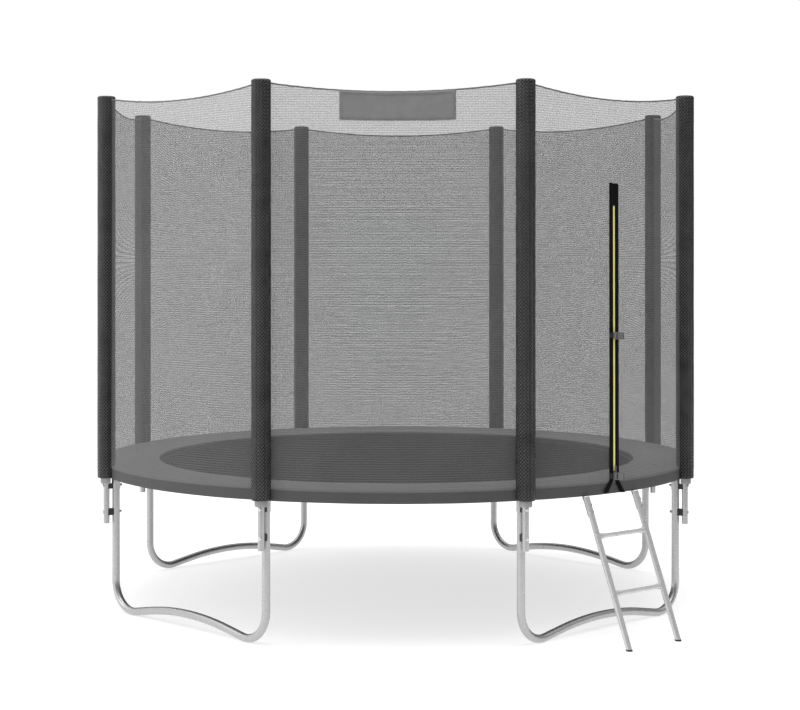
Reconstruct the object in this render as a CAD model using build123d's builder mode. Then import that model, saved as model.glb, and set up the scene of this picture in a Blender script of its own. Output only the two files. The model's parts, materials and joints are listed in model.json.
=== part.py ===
"""Round backyard trampoline with a safety net: welded W-leg frame, sprung mat, pad, net and ladder.

The origin is on the ground at the centre of the trampoline, +Z is up, and -Y is the front.
An azimuth is measured from the front (-Y) towards +X. Most pieces are drawn on the +X axis,
at "station" azimuth 90, and are then turned about Z to where they belong. Millimetres.
"""

import os
from math import atan2, copysign, cos, degrees, radians, sin, sqrt, tan

from build123d import *

# ---------------------------------------------------------------- driving dimensions
SIDES = 8
STEP = 360 / SIDES
HALF = STEP / 2
STATION = 90  # azimuth of the +X axis

RING_R = 1500  # leg and top ring centre line
RING_Z = 685
TUBE_R = 19
TUBE_WALL = 1.5
FIT = 0.1
RAIL_GAP = 2  # between two lengths of the top ring

SOCKET_R = 21.7
SOCKET_ARC = 4.6  # degrees of ring that one socket wraps
SOCKET_BOTTOM = 610
UPRIGHT_TOP = 660

SEAM_Z = 297  # joint between a leg upright and its base tube
FOOT_BEND_R = 140
FOOT_OVERBEND = 10  # degrees that the foot turns up past level
HUMP_Z = 67
SPIGOT_LENGTH = 48
NECK_LENGTH = 15
NECK_BORE_R = 15

POLE_RING_R = 1548
POLE_R = 15
POLE_WALL = 1.4
POLE_BOTTOM = 440
POLE_TOP = 2530
FOAM_R = 30
FOAM_BOTTOM = 637
SLEEVE_R = 45
SLEEVE_INNER_R = 30.5
SLEEVE_BOTTOM = 666
TOTAL_HEIGHT = 2554
SLEEVE_LID = 6
SLEEVE_TOP_ROUND = 5
SLEEVE_FLAT_X = 1532.3  # sleeve and foam lie flat against the pad's skirt
SLEEVE_FLAT_TOP = 742
BOLT_HEIGHTS = (496, 627)
BOLT_R = 4
SPACER_WIDTH = 28
SPACER_HEIGHT = 32
UPPER_SPACER_HEIGHT = 24

MAT_R = 1290
MAT_BOTTOM = 686
MAT_TOP = 690
SPRING_COUNT = 64
SPRING_Z = 688
SPRING_BODY_R = 12
SPRING_WIRE_R = 2
SPRING_HOLE_R = 3.5
SPRING_HOLE_DEPTH = 14  # through the near wall of the top ring only
SPRING_BODY_START = 1337
SPRING_BODY_END = 1460

PAD_INNER_R = 1238
PAD_TOP_IN = 720
PAD_TOP_OUT = 727
PAD_CORNER_R = 1500
SKIRT_INNER_R = 1528
SKIRT_OUTER_R = 1531.5
SKIRT_BOTTOM = 663
PAD_UNDER_RAIL = 710
PAD_UNDER_SPRINGS = 704
CORNER_DEPTH = 24  # height over which the pad's top turns down into the skirt
INNER_CORNER = 8
RAIL_CLEARANCE_R = 1475

NET_FOOT_R = 1534.4
NET_FOOT_Z = 668
NET_LOFT_Z = 2560
NET_LOFT_DISTANCE = 1428
NET_THICKNESS = 1.6
NET_POLE_CUT_R = 46
CUT_MARGIN = 20  # how far a cutting block runs past the net
CUT_DEPTH = 220
HEM_POLE_Z = 2544
HEM_MID_Z = 2499
HEM_HEIGHT = 10
HEM_THICKNESS = 1.2
SEWN_GAP = 0.4  # clearance between layers that are sewn together

PANEL_WIDTH = 522
PANEL_SHIFT = 19  # the cloth panel hangs this far to the right of the middle
PANEL_BOTTOM_Z = 2365
PANEL_THICKNESS = 1.5

DOOR_PANEL_AZIMUTH = 45
ZIP_FOOT_AZIMUTH = 41.5
ZIP_BOTTOM_Z = 665
ZIP_TOP_Z = 2103
ZIP_SPLIT_Z = 722
ZIP_WIDTH = 66
COIL_WIDTH = 12
COIL_BOTTOM_Z = 750
COIL_TOP_Z = 1995
BUCKLE_HEIGHTS = (1389, 741)

LADDER_AZIMUTH = 41
STILE_OFFSET = 165
STILE_R = 14
STILE_WALL = 1.6
STILE_FOOT_X = 1794
STILE_TOP_X = 1531.2
STILE_TOP_Z = 660
RUNG_HEIGHTS = (240, 487)
RUNG_R = 10
STRIP_R = 21.9  # centre line of the ladder's hook round the top ring
STRIP_THICKNESS = 2.6
STRIP_WIDTH = 16

os.makedirs("parts", exist_ok=True)


def save(builder, name):
    builder.part.label = name
    export_step(builder.part, f"parts/{name}.step")


def outward(azimuth):
    return Vector(sin(radians(azimuth)), -cos(radians(azimuth)), 0)


def turned(source, name, azimuth):
    """Save a copy of a piece drawn on the +X axis, turned to an azimuth."""
    with BuildPart() as piece:
        add(source.part, rotation=(0, 0, azimuth - STATION))
    save(piece, name)


def all_round(source, name, count=SIDES, start=HALF):
    """Save copies of a piece drawn on the +X axis, evenly round the ring, as one node."""
    with BuildPart() as ring:
        with PolarLocations(0, count, start_angle=start):
            add(source.part)
    save(ring, name)


# ---------------------------------------------------------------- top ring
half_socket = SOCKET_ARC / 2
rail_gap = degrees(RAIL_GAP / 2 / RING_R)
spring_step = 360 / SPRING_COUNT
springs_per_rail = SPRING_COUNT // SIDES

with BuildPart() as rail:
    start = Plane.XZ.rotated((0, 0, -HALF + rail_gap))
    with BuildSketch(start):
        with Locations((RING_R, RING_Z)):
            Circle(TUBE_R)
            Circle(TUBE_R - TUBE_WALL, mode=Mode.SUBTRACT)
    revolve(axis=Axis.Z, revolution_arc=STEP - 2 * rail_gap)
    for index in range(springs_per_rail):
        angle = (index - (springs_per_rail - 1) / 2) * spring_step
        hook_side = Plane(
            origin=Vector(RING_R - TUBE_R - 5, 0, SPRING_Z).rotate(Axis.Z, angle),
            z_dir=Vector(1, 0, 0).rotate(Axis.Z, angle),
        )
        with BuildSketch(hook_side):
            Circle(SPRING_HOLE_R)
        extrude(amount=SPRING_HOLE_DEPTH, mode=Mode.SUBTRACT)
for index in range(SIDES):
    turned(rail, f"top_rail_{index + 1}", index * STEP)

with BuildPart() as socket:
    with BuildSketch(Plane.XZ.rotated((0, 0, -half_socket))):
        with Locations((RING_R, RING_Z)):
            Circle(SOCKET_R)
    revolve(axis=Axis.Z, revolution_arc=SOCKET_ARC)
    with BuildSketch(Plane.XY.offset(SOCKET_BOTTOM)):
        with Locations((RING_R, 0)):
            Circle(SOCKET_R)
    extrude(amount=RING_Z - SOCKET_BOTTOM)
    with BuildSketch(Plane.XZ.rotated((0, 0, -half_socket - 1))):
        with Locations((RING_R, RING_Z)):
            Circle(TUBE_R + FIT)
    revolve(axis=Axis.Z, revolution_arc=SOCKET_ARC + 2, mode=Mode.SUBTRACT)
    with BuildSketch(Plane.XY.offset(SOCKET_BOTTOM)):
        with Locations((RING_R, 0)):
            Circle(TUBE_R + FIT)
    extrude(amount=UPRIGHT_TOP + 1 - SOCKET_BOTTOM, mode=Mode.SUBTRACT)
    with BuildSketch(Plane.YZ.offset(RING_R - 2 * SOCKET_R)):
        with Locations((0, BOLT_HEIGHTS[1])):
            Circle(BOLT_R + FIT)
    extrude(amount=4 * SOCKET_R, mode=Mode.SUBTRACT)
all_round(socket, "leg_sockets")

# ---------------------------------------------------------------- legs
with BuildPart() as upright:
    with BuildSketch(Plane.XY.offset(SEAM_Z)):
        with Locations((RING_R, 0)):
            Circle(TUBE_R)
            Circle(TUBE_R - TUBE_WALL, mode=Mode.SUBTRACT)
    extrude(amount=UPRIGHT_TOP - SEAM_Z)
    with BuildSketch(Plane.YZ.offset(RING_R - 2 * TUBE_R)):
        for height in BOLT_HEIGHTS:
            with Locations((0, height)):
                Circle(BOLT_R + FIT)
    extrude(amount=4 * TUBE_R, mode=Mode.SUBTRACT)
for index in range(SIDES):
    turned(upright, f"leg_upright_{index + 1}", HALF + index * STEP)

# One base tube joins two neighbouring legs. Drawn flat: x along the chord, y up.
half_chord = RING_R * sin(radians(HALF))
chord_distance = RING_R * cos(radians(HALF))
foot_top_z = TUBE_R + FOOT_BEND_R
overbend = radians(FOOT_OVERBEND)
run_x = half_chord - FOOT_BEND_R * (1 + sin(overbend))
rise_z = HUMP_Z - TUBE_R - FOOT_BEND_R * (1 - cos(overbend))
# the straight run L and the hump radius H meet both run_x and rise_z
hump_r = (run_x * sin(overbend) - rise_z * cos(overbend)) / (1 - cos(overbend))
straight = (run_x - hump_r * sin(overbend)) / cos(overbend)

with BuildPart() as base_tube:
    with BuildLine() as base_path:
        drop = Line((-half_chord, SEAM_Z), (-half_chord, foot_top_z))
        foot = JernArc(drop @ 1, drop % 1, FOOT_BEND_R, 90 + FOOT_OVERBEND)
        climb = Line(foot @ 1, (foot @ 1) + (foot % 1) * straight)
        hump = JernArc(climb @ 1, climb % 1, hump_r, -2 * FOOT_OVERBEND)
        descent = Line(hump @ 1, (hump @ 1) + (hump % 1) * straight)
        far_foot = JernArc(descent @ 1, descent % 1, FOOT_BEND_R, 90 + FOOT_OVERBEND)
        Line(far_foot @ 1, (half_chord, SEAM_Z))
    with BuildSketch(Plane(origin=base_path.line @ 0, z_dir=base_path.line % 0)):
        Circle(TUBE_R)
        Circle(TUBE_R - TUBE_WALL, mode=Mode.SUBTRACT)
    sweep(path=base_path.line)
    # the ends are drawn in to a spigot that slips into the upright
    for side in (-1, 1):
        neck_start = Vector(side * half_chord, SEAM_Z - NECK_LENGTH, 0)
        with BuildSketch(Plane(origin=neck_start, z_dir=(0, 1, 0))):
            Circle(TUBE_R - TUBE_WALL / 2)
            Circle(NECK_BORE_R, mode=Mode.SUBTRACT)
        extrude(amount=NECK_LENGTH)
        with BuildSketch(Plane(origin=neck_start, z_dir=(0, 1, 0))):
            Circle(TUBE_R - TUBE_WALL - FIT)
            Circle(NECK_BORE_R, mode=Mode.SUBTRACT)
        extrude(amount=NECK_LENGTH + SPIGOT_LENGTH)
for index in range(SIDES // 2):
    azimuth = DOOR_PANEL_AZIMUTH + 2 * index * STEP
    facing = outward(azimuth)
    with BuildPart() as leg_base:
        with Locations(Plane(origin=facing * chord_distance, x_dir=(-facing.Y, facing.X, 0), z_dir=facing)):
            add(base_tube.part)
    save(leg_base, f"leg_base_{index + 1}")

# ---------------------------------------------------------------- enclosure poles
with BuildPart() as pole:
    with BuildSketch(Plane.XY.offset(POLE_BOTTOM)):
        with Locations((POLE_RING_R, 0)):
            Circle(POLE_R)
            Circle(POLE_R - POLE_WALL, mode=Mode.SUBTRACT)
    extrude(amount=POLE_TOP - POLE_BOTTOM)
    with BuildSketch(Plane.YZ.offset(POLE_RING_R - 2 * POLE_R)):
        for height in BOLT_HEIGHTS:
            with Locations((0, height)):
                Circle(BOLT_R + FIT)
    extrude(amount=4 * POLE_R, mode=Mode.SUBTRACT)
all_round(pole, "enclosure_poles")

CAP_THICKNESS = 6
PLUG_LENGTH = 25
with BuildPart() as cap:
    with BuildSketch(Plane.XY.offset(POLE_TOP + 2 * FIT)):
        with Locations((POLE_RING_R, 0)):
            Circle(FOAM_R - 1)
    extrude(amount=CAP_THICKNESS)
    with BuildSketch(Plane.XY.offset(POLE_TOP - PLUG_LENGTH)):
        with Locations((POLE_RING_R, 0)):
            Circle(POLE_R - POLE_WALL - FIT)
    extrude(amount=PLUG_LENGTH + 2 * FIT)
all_round(cap, "pole_caps")

with BuildPart() as foam:
    with BuildSketch(Plane.XY.offset(FOAM_BOTTOM)):
        with Locations((POLE_RING_R, 0)):
            Circle(FOAM_R)
            Circle(POLE_R + 2 * FIT, mode=Mode.SUBTRACT)
    extrude(amount=POLE_TOP - FOAM_BOTTOM)
    with BuildSketch(Plane.XY.offset(FOAM_BOTTOM)):
        with Locations((SLEEVE_FLAT_X - FOAM_R / 2, 0)):
            Rectangle(FOAM_R, 3 * FOAM_R)
    extrude(amount=SLEEVE_FLAT_TOP - FOAM_BOTTOM, mode=Mode.SUBTRACT)
all_round(foam, "pole_foam")

with BuildPart() as sleeve:
    with BuildSketch(Plane.XY.offset(SLEEVE_BOTTOM)):
        with Locations((POLE_RING_R, 0)):
            Circle(SLEEVE_R)
    extrude(amount=TOTAL_HEIGHT - SLEEVE_BOTTOM)
    fillet(sleeve.edges().filter_by(GeomType.CIRCLE).sort_by(Axis.Z)[-1], radius=SLEEVE_TOP_ROUND)
    with BuildSketch(Plane.XY.offset(SLEEVE_BOTTOM)):
        with Locations((POLE_RING_R, 0)):
            Circle(SLEEVE_INNER_R)
    extrude(amount=TOTAL_HEIGHT - SLEEVE_LID - SLEEVE_BOTTOM, mode=Mode.SUBTRACT)
    with BuildSketch(Plane.XY.offset(SLEEVE_BOTTOM)):
        with Locations((SLEEVE_FLAT_X - SLEEVE_R / 2, 0)):
            Rectangle(SLEEVE_R, 3 * SLEEVE_R)
    extrude(amount=SLEEVE_FLAT_TOP - SLEEVE_BOTTOM, mode=Mode.SUBTRACT)
for index in range(SIDES):
    turned(sleeve, f"pole_sleeve_{index + 1}", HALF + index * STEP)

# each pole is held off its leg by two saddle spacers with a bolt through both tubes
leg_side = (TUBE_R, SOCKET_R)
with BuildPart() as spacer_pair:
    for height, leg_r in zip(BOLT_HEIGHTS, leg_side):
        with BuildSketch(Plane.XY.offset(height - SPACER_HEIGHT / 2)):
            with Locations(((RING_R + POLE_RING_R) / 2, 0)):
                Rectangle(POLE_RING_R - RING_R, SPACER_WIDTH)
            with Locations((RING_R, 0)):
                Circle(leg_r + FIT, mode=Mode.SUBTRACT)
            with Locations((POLE_RING_R, 0)):
                Circle(POLE_R + FIT, mode=Mode.SUBTRACT)
        extrude(amount=SPACER_HEIGHT if height == BOLT_HEIGHTS[0] else UPPER_SPACER_HEIGHT)
    with BuildSketch(Plane.YZ.offset(RING_R)):
        for height in BOLT_HEIGHTS:
            with Locations((0, height)):
                Circle(BOLT_R + FIT)
    extrude(amount=POLE_RING_R - RING_R, mode=Mode.SUBTRACT)
all_round(spacer_pair, "pole_spacers")

HEAD_R = 9
HEAD_HEIGHT = 5
NUT_R = 7.5
NUT_HEIGHT = 6.5
THREAD_SHOWN = 3
head_face = POLE_RING_R + POLE_R
with BuildPart() as bolt_pair:
    for height, leg_r in zip(BOLT_HEIGHTS, leg_side):
        tip = RING_R - leg_r - NUT_HEIGHT - THREAD_SHOWN
        with BuildSketch(Plane.YZ.offset(tip)):
            with Locations((0, height)):
                Circle(BOLT_R)
        extrude(amount=head_face + 1 - tip)
        with BuildSketch(Plane.YZ.offset(head_face + FIT)):
            with Locations((0, height)):
                Circle(HEAD_R)
        extrude(amount=HEAD_HEIGHT)
    fillet(bolt_pair.edges().filter_by(GeomType.CIRCLE).group_by(Axis.X)[-1], radius=HEAD_HEIGHT * 0.8)
all_round(bolt_pair, "pole_bolts")

with BuildPart() as nut_pair:
    for height, leg_r in zip(BOLT_HEIGHTS, leg_side):
        with BuildSketch(Plane.YZ.offset(RING_R - leg_r - FIT - NUT_HEIGHT)):
            with Locations((0, height)):
                RegularPolygon(NUT_R, 6)
                Circle(BOLT_R + FIT / 2, mode=Mode.SUBTRACT)
        extrude(amount=NUT_HEIGHT)
all_round(nut_pair, "pole_nuts")

# ---------------------------------------------------------------- mat and springs
RING_BAR = 4  # thickness of a V-ring's wire
RING_BASE_X = MAT_R + 1
RING_APEX_X = 1318
RING_HALF_WIDTH = 17
RING_APEX_HALF = 3
HOOK_X = 1309
HOOK_Z = 693

with BuildPart() as jumping_mat:
    with BuildSketch(Plane.XY.offset(MAT_BOTTOM)):
        Circle(MAT_R)
    extrude(amount=MAT_TOP - MAT_BOTTOM)
save(jumping_mat, "jumping_mat")

with BuildPart() as v_ring:
    with BuildSketch(Plane.XY.offset(MAT_BOTTOM)):
        with BuildLine():
            Polyline(
                (RING_BASE_X, -RING_HALF_WIDTH),
                (RING_APEX_X, -RING_APEX_HALF),
                (RING_APEX_X, RING_APEX_HALF),
                (RING_BASE_X, RING_HALF_WIDTH),
                close=True,
            )
        make_face()
        offset(amount=-RING_BAR, mode=Mode.SUBTRACT)
    extrude(amount=RING_BAR)
all_round(v_ring, "mat_rings", SPRING_COUNT, spring_step / 2)

# webbing sewn round the edge of the mat, with a loop over each V-ring
WEBBING_THICKNESS = 1.8
WEBBING_INNER_R = 1226
LOOP_SIZE = (14, 22)
with BuildPart() as mat_webbing:
    with BuildSketch(Plane.XY.offset(MAT_TOP + FIT)):
        Circle(MAT_R)
        with PolarLocations(MAT_R, SPRING_COUNT, start_angle=spring_step / 2):
            Rectangle(*LOOP_SIZE)
        Circle(WEBBING_INNER_R, mode=Mode.SUBTRACT)
    extrude(amount=WEBBING_THICKNESS)
save(mat_webbing, "mat_webbing")

SPRING_END_TAPER = 3
WIRE_OVERLAP = 2  # how far an end wire runs into the coil
RAIL_WIRE_END = RING_R - 10
with BuildPart() as spring:
    with BuildSketch(Plane.YZ.offset(SPRING_BODY_START)):
        with Locations((0, SPRING_Z)):
            Circle(SPRING_BODY_R)
    extrude(amount=SPRING_BODY_END - SPRING_BODY_START)
    chamfer(spring.edges().filter_by(GeomType.CIRCLE), length=SPRING_END_TAPER)
    with BuildSketch(Plane.YZ.offset(SPRING_BODY_END - WIRE_OVERLAP)):
        with Locations((0, SPRING_Z)):
            Circle(SPRING_WIRE_R)
    extrude(amount=RAIL_WIRE_END - SPRING_BODY_END + WIRE_OVERLAP)
    with BuildSketch(Plane.YZ.offset(HOOK_X)):
        with Locations((0, HOOK_Z)):
            Circle(SPRING_WIRE_R)
    extrude(amount=SPRING_BODY_START + WIRE_OVERLAP - HOOK_X)
    with BuildSketch(Plane.XY.offset(MAT_BOTTOM)):
        with Locations((HOOK_X, 0)):
            Circle(SPRING_WIRE_R)
    extrude(amount=HOOK_Z - MAT_BOTTOM)
all_round(spring, "springs", SPRING_COUNT, spring_step / 2)

# ---------------------------------------------------------------- safety pad
with BuildPart() as safety_pad:
    with BuildSketch(Plane.XZ):
        with BuildLine():
            Polyline(
                (PAD_INNER_R, PAD_UNDER_SPRINGS),
                (PAD_INNER_R, PAD_TOP_IN),
                (PAD_CORNER_R, PAD_TOP_OUT),
                (SKIRT_OUTER_R - CORNER_DEPTH / 4, PAD_TOP_OUT - CORNER_DEPTH * 0.4),
                (SKIRT_OUTER_R, PAD_TOP_OUT - CORNER_DEPTH),
                (SKIRT_OUTER_R, SKIRT_BOTTOM),
                (SKIRT_INNER_R, SKIRT_BOTTOM),
                (SKIRT_INNER_R, PAD_UNDER_RAIL - INNER_CORNER),
                (SKIRT_INNER_R - INNER_CORNER, PAD_UNDER_RAIL),
                (RAIL_CLEARANCE_R, PAD_UNDER_RAIL),
                (RAIL_CLEARANCE_R - 35, PAD_UNDER_SPRINGS),
                close=True,
            )
        make_face()
    revolve(axis=Axis.Z)
save(safety_pad, "safety_pad")

TIE_COUNT = 16
TIE_WIDTH = 12
TIE_INNER_R = TUBE_R + 0.4
TIE_THICKNESS = 1.8
TAB_WIDTH = 10
TAB_HEIGHT = 4.6
TAB_LIFT = 3
with BuildPart() as pad_tie:
    with BuildSketch(Plane.XZ.offset(-TIE_WIDTH / 2)):
        with Locations((RING_R, RING_Z)):
            Circle(TIE_INNER_R + TIE_THICKNESS)
        with Locations((RING_R, RING_Z + TIE_INNER_R + TAB_LIFT)):
            Rectangle(TAB_WIDTH, TAB_HEIGHT)
        with Locations((RING_R, RING_Z)):
            Circle(TIE_INNER_R, mode=Mode.SUBTRACT)
    extrude(amount=TIE_WIDTH)
all_round(pad_tie, "pad_ties", TIE_COUNT, HALF / 2)

# ---------------------------------------------------------------- safety net
def net_distance(height):
    """Distance from the centre of the middle of a net panel's inner face."""
    share = (height - NET_FOOT_Z) / (NET_LOFT_Z - NET_FOOT_Z)
    return NET_FOOT_R + (NET_LOFT_DISTANCE - NET_FOOT_R) * share


pole_half_chord = POLE_RING_R * sin(radians(HALF))


def hem_line():
    return ThreePointArc((-pole_half_chord, HEM_POLE_Z), (0, HEM_MID_Z), (pole_half_chord, HEM_POLE_Z))


def net_sections(inset, thickness):
    """Foot and head of a sheet ruled from the skirt's circle to the line between two pole tops."""
    near_r = NET_FOOT_R + inset
    far_r = near_r + thickness
    near_x = NET_LOFT_DISTANCE + inset
    far_x = near_x + thickness
    spread = tan(radians(HALF))
    with BuildSketch(Plane.XY.offset(NET_FOOT_Z)) as foot_section:
        with BuildLine():
            near = CenterArc((0, 0), near_r, -HALF, STEP)
            far = CenterArc((0, 0), far_r, -HALF, STEP)
            Line(near @ 0, far @ 0)
            Line(near @ 1, far @ 1)
        make_face()
    with BuildSketch(Plane.XY.offset(NET_LOFT_Z)) as head_section:
        with BuildLine():
            Polyline(
                (near_x, -near_x * spread),
                (near_x, near_x * spread),
                (far_x, far_x * spread),
                (far_x, -far_x * spread),
                close=True,
            )
        make_face()
    return [foot_section.sketch.face(), head_section.sketch.face()]


with BuildPart() as pole_clearance:
    with BuildSketch(Plane.XY.offset(NET_FOOT_Z - CUT_MARGIN)):
        with PolarLocations(POLE_RING_R, 2, start_angle=-HALF, angular_range=2 * STEP):
            Circle(NET_POLE_CUT_R)
    extrude(amount=NET_LOFT_Z - NET_FOOT_Z + 2 * CUT_MARGIN)

with BuildPart() as net_panel:
    loft(sections=net_sections(0, NET_THICKNESS), ruled=True)
    with BuildSketch(Plane.YZ.offset(NET_LOFT_DISTANCE - CUT_MARGIN)):
        with BuildLine():
            hem = hem_line()
            Polyline(
                hem @ 1,
                (pole_half_chord, NET_LOFT_Z + CUT_MARGIN),
                (-pole_half_chord, NET_LOFT_Z + CUT_MARGIN),
                hem @ 0,
            )
        make_face()
    extrude(amount=CUT_DEPTH, mode=Mode.SUBTRACT)
    add(pole_clearance.part, mode=Mode.SUBTRACT)
all_round(net_panel, "safety_net", SIDES, 0)

with BuildPart() as hem_band:
    loft(sections=net_sections(NET_THICKNESS + SEWN_GAP, HEM_THICKNESS), ruled=True)
    with BuildSketch(Plane.YZ.offset(NET_LOFT_DISTANCE - CUT_MARGIN)):
        with BuildLine():
            upper = hem_line()
            lower = ThreePointArc(
                (-pole_half_chord, HEM_POLE_Z - HEM_HEIGHT),
                (0, HEM_MID_Z - HEM_HEIGHT),
                (pole_half_chord, HEM_POLE_Z - HEM_HEIGHT),
            )
            Line(upper @ 0, lower @ 0)
            Line(upper @ 1, lower @ 1)
        make_face()
    extrude(amount=CUT_DEPTH, mode=Mode.INTERSECT)
    add(pole_clearance.part, mode=Mode.SUBTRACT)
all_round(hem_band, "net_hem", SIDES, 0)

# plain cloth panel sewn to the front of the net, just under the hem
net_lean = atan2(NET_FOOT_R - NET_LOFT_DISTANCE, NET_LOFT_Z - NET_FOOT_Z)
panel_face = Plane(
    origin=outward(0) * (net_distance(HEM_MID_Z) + NET_THICKNESS + SEWN_GAP)
    + Vector(PANEL_SHIFT, 0, HEM_MID_Z),
    x_dir=(1, 0, 0),
    z_dir=(0, -cos(net_lean), sin(net_lean)),
)
hem_rise = (HEM_POLE_Z - HEM_MID_Z) * (PANEL_WIDTH / 2 / pole_half_chord) ** 2
with BuildPart() as header_panel:
    with BuildSketch(panel_face):
        with BuildLine():
            top_y = -HEM_HEIGHT - 4 * SEWN_GAP
            bottom_y = (PANEL_BOTTOM_Z - HEM_MID_Z) / cos(net_lean)
            top = ThreePointArc(
                (-PANEL_WIDTH / 2, top_y + hem_rise), (0, top_y), (PANEL_WIDTH / 2, top_y + hem_rise)
            )
            Polyline(top @ 1, (PANEL_WIDTH / 2, bottom_y), (-PANEL_WIDTH / 2, bottom_y), top @ 0)
        make_face()
    extrude(amount=PANEL_THICKNESS)
save(header_panel, "header_panel")

# ---------------------------------------------------------------- zip door
# The zip is a straight line on the net. Its own plane has y up the zip and z outward.
zip_offset = NET_THICKNESS + 4 * SEWN_GAP
zip_foot = outward(ZIP_FOOT_AZIMUTH) * (NET_FOOT_R + zip_offset) + Vector(0, 0, ZIP_BOTTOM_Z)
zip_head = outward(DOOR_PANEL_AZIMUTH) * (net_distance(ZIP_TOP_Z) + zip_offset) + Vector(0, 0, ZIP_TOP_Z)
zip_up = (zip_head - zip_foot).normalized()
zip_side = zip_up.cross(outward((ZIP_FOOT_AZIMUTH + DOOR_PANEL_AZIMUTH) / 2)).normalized()
zip_face = Plane(origin=zip_foot, x_dir=zip_side, z_dir=zip_side.cross(zip_up))
zip_slope = (zip_head - zip_foot).length / (ZIP_TOP_Z - ZIP_BOTTOM_Z)


def up_zip(height):
    """Distance along the zip from its foot to a height above the ground."""
    return (height - ZIP_BOTTOM_Z) * zip_slope


def zip_layer(level):
    return zip_face.offset(level)


TAPE_THICKNESS = 1.6
SPLIT_INNER = 44  # the tapes part to these distances at the foot of the door
SPLIT_OUTER = 78
tape_inner = COIL_WIDTH / 2 + 0.3
with BuildPart() as zip_tapes:
    for side in (-1, 1):
        with BuildSketch(zip_layer(0)):
            with BuildLine():
                Polyline(
                    (side * tape_inner, up_zip(ZIP_TOP_Z)),
                    (side * ZIP_WIDTH / 2, up_zip(ZIP_TOP_Z)),
                    (side * ZIP_WIDTH / 2, up_zip(ZIP_SPLIT_Z)),
                    (side * SPLIT_OUTER, up_zip(ZIP_BOTTOM_Z + 1)),
                    (side * SPLIT_INNER, up_zip(ZIP_BOTTOM_Z + 1)),
                    (side * tape_inner, up_zip(ZIP_SPLIT_Z)),
                    close=True,
                )
            make_face()
        extrude(amount=TAPE_THICKNESS)
save(zip_tapes, "zip_tapes")

COIL_THICKNESS = 2.6
with BuildPart() as zip_coil:
    with BuildSketch(zip_layer(0)):
        with Locations((0, up_zip((COIL_BOTTOM_Z + COIL_TOP_Z) / 2))):
            Rectangle(COIL_WIDTH, up_zip(COIL_TOP_Z) - up_zip(COIL_BOTTOM_Z))
    extrude(amount=COIL_THICKNESS)
save(zip_coil, "zip_coil")

SLIDER_LENGTH = 20
SLIDER_WIDTH = 18
SLIDER_CORNER_R = 4
SLIDER_THICKNESS = 4.5
SLIDER_GAP = 0.3
SLIDER_Y = up_zip(COIL_BOTTOM_Z) + 7
LUG_X = 5.8
LUG_SIZE = (1.8, 5)
LUG_HEIGHT = 4.6
PULL_Y = SLIDER_Y + 6.5
PULL_LEVEL = 9.3
PULL_R = 1.6
PULL_WIDTH = 8.8
PULL_LENGTH = 24
PIN_R = 0.8


def across_zip(x):
    """Plane square to the pull's pin, at a distance to the side of the zip's middle."""
    origin = zip_face.from_local_coords((x, PULL_Y, PULL_LEVEL))
    return Plane(origin=origin, x_dir=zip_up, z_dir=zip_side)


with BuildPart() as zip_slider:
    with BuildSketch(zip_layer(COIL_THICKNESS + SLIDER_GAP)):
        with Locations((0, SLIDER_Y)):
            RectangleRounded(SLIDER_WIDTH, SLIDER_LENGTH, SLIDER_CORNER_R)
    extrude(amount=SLIDER_THICKNESS)
    for side in (-1, 1):
        with BuildSketch(zip_layer(COIL_THICKNESS + SLIDER_THICKNESS - 0.5)):
            with Locations((side * LUG_X, PULL_Y)):
                Rectangle(*LUG_SIZE)
        extrude(amount=LUG_HEIGHT)
    with BuildSketch(across_zip(-LUG_X)):
        Circle(PIN_R)
    extrude(amount=2 * LUG_X)
save(zip_slider, "zip_slider")

with BuildPart() as zip_pull:
    with BuildSketch(across_zip(-PULL_WIDTH / 2)):
        with Locations((PULL_LENGTH / 2, 0)):
            SlotCenterToCenter(PULL_LENGTH, 2 * PULL_R)
        Circle(PIN_R + 0.1, mode=Mode.SUBTRACT)
    extrude(amount=PULL_WIDTH)
save(zip_pull, "zip_pull")

BUCKLE_LEVEL = 12.2
BUCKLE_DEPTH = 9
BUCKLE_WALL = 1.8
BUCKLE_CORNER_R = 2.5
PLUG_SIZE = (29, 33)
PLUG_X = -3.5
LOOP_SIZE = (10, 26)  # slot that the strap goes through
LOOP_X = -2
SOCKET_SIZE = (38.5, 33)
SOCKET_X = 30.75
POCKET_SIZE = (29, 28)
POCKET_X = 25.5
SOCKET_LOOP_SIZE = (4, 26)
SOCKET_LOOP_X = 44.5
PRONG_SIZE = (28, 5)
PRONG_X = 24
PRONG_SPACING = 10.5
PRONG_GAP = 0.4


STRAP_HEIGHT = 24
STRAP_THICKNESS = 1.2
STRAP_LOW = 2.2  # level of the strap's back on the tape
STRAP_HIGH = 10.8  # and under the buckle
STRAP_RISE = 5
SOCKET_STRAP = (15, 28, 46)  # where it is sewn, where it bends up and where it ends under the buckle
PLUG_STRAP = (-32, -24, -9)


def socket(height):
    """Box of a side-release buckle, open to the left."""
    middle_y = up_zip(height)
    with BuildPart() as piece:
        with BuildSketch(zip_layer(BUCKLE_LEVEL)):
            with Locations((SOCKET_X, middle_y)):
                RectangleRounded(*SOCKET_SIZE, BUCKLE_CORNER_R)
            with Locations((SOCKET_LOOP_X, middle_y)):
                Rectangle(*SOCKET_LOOP_SIZE, mode=Mode.SUBTRACT)
        extrude(amount=BUCKLE_DEPTH)
        with BuildSketch(zip_layer(BUCKLE_LEVEL + BUCKLE_WALL)):
            with Locations((POCKET_X, middle_y)):
                Rectangle(*POCKET_SIZE)
        extrude(amount=BUCKLE_DEPTH - 2 * BUCKLE_WALL, mode=Mode.SUBTRACT)
    return piece


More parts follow.
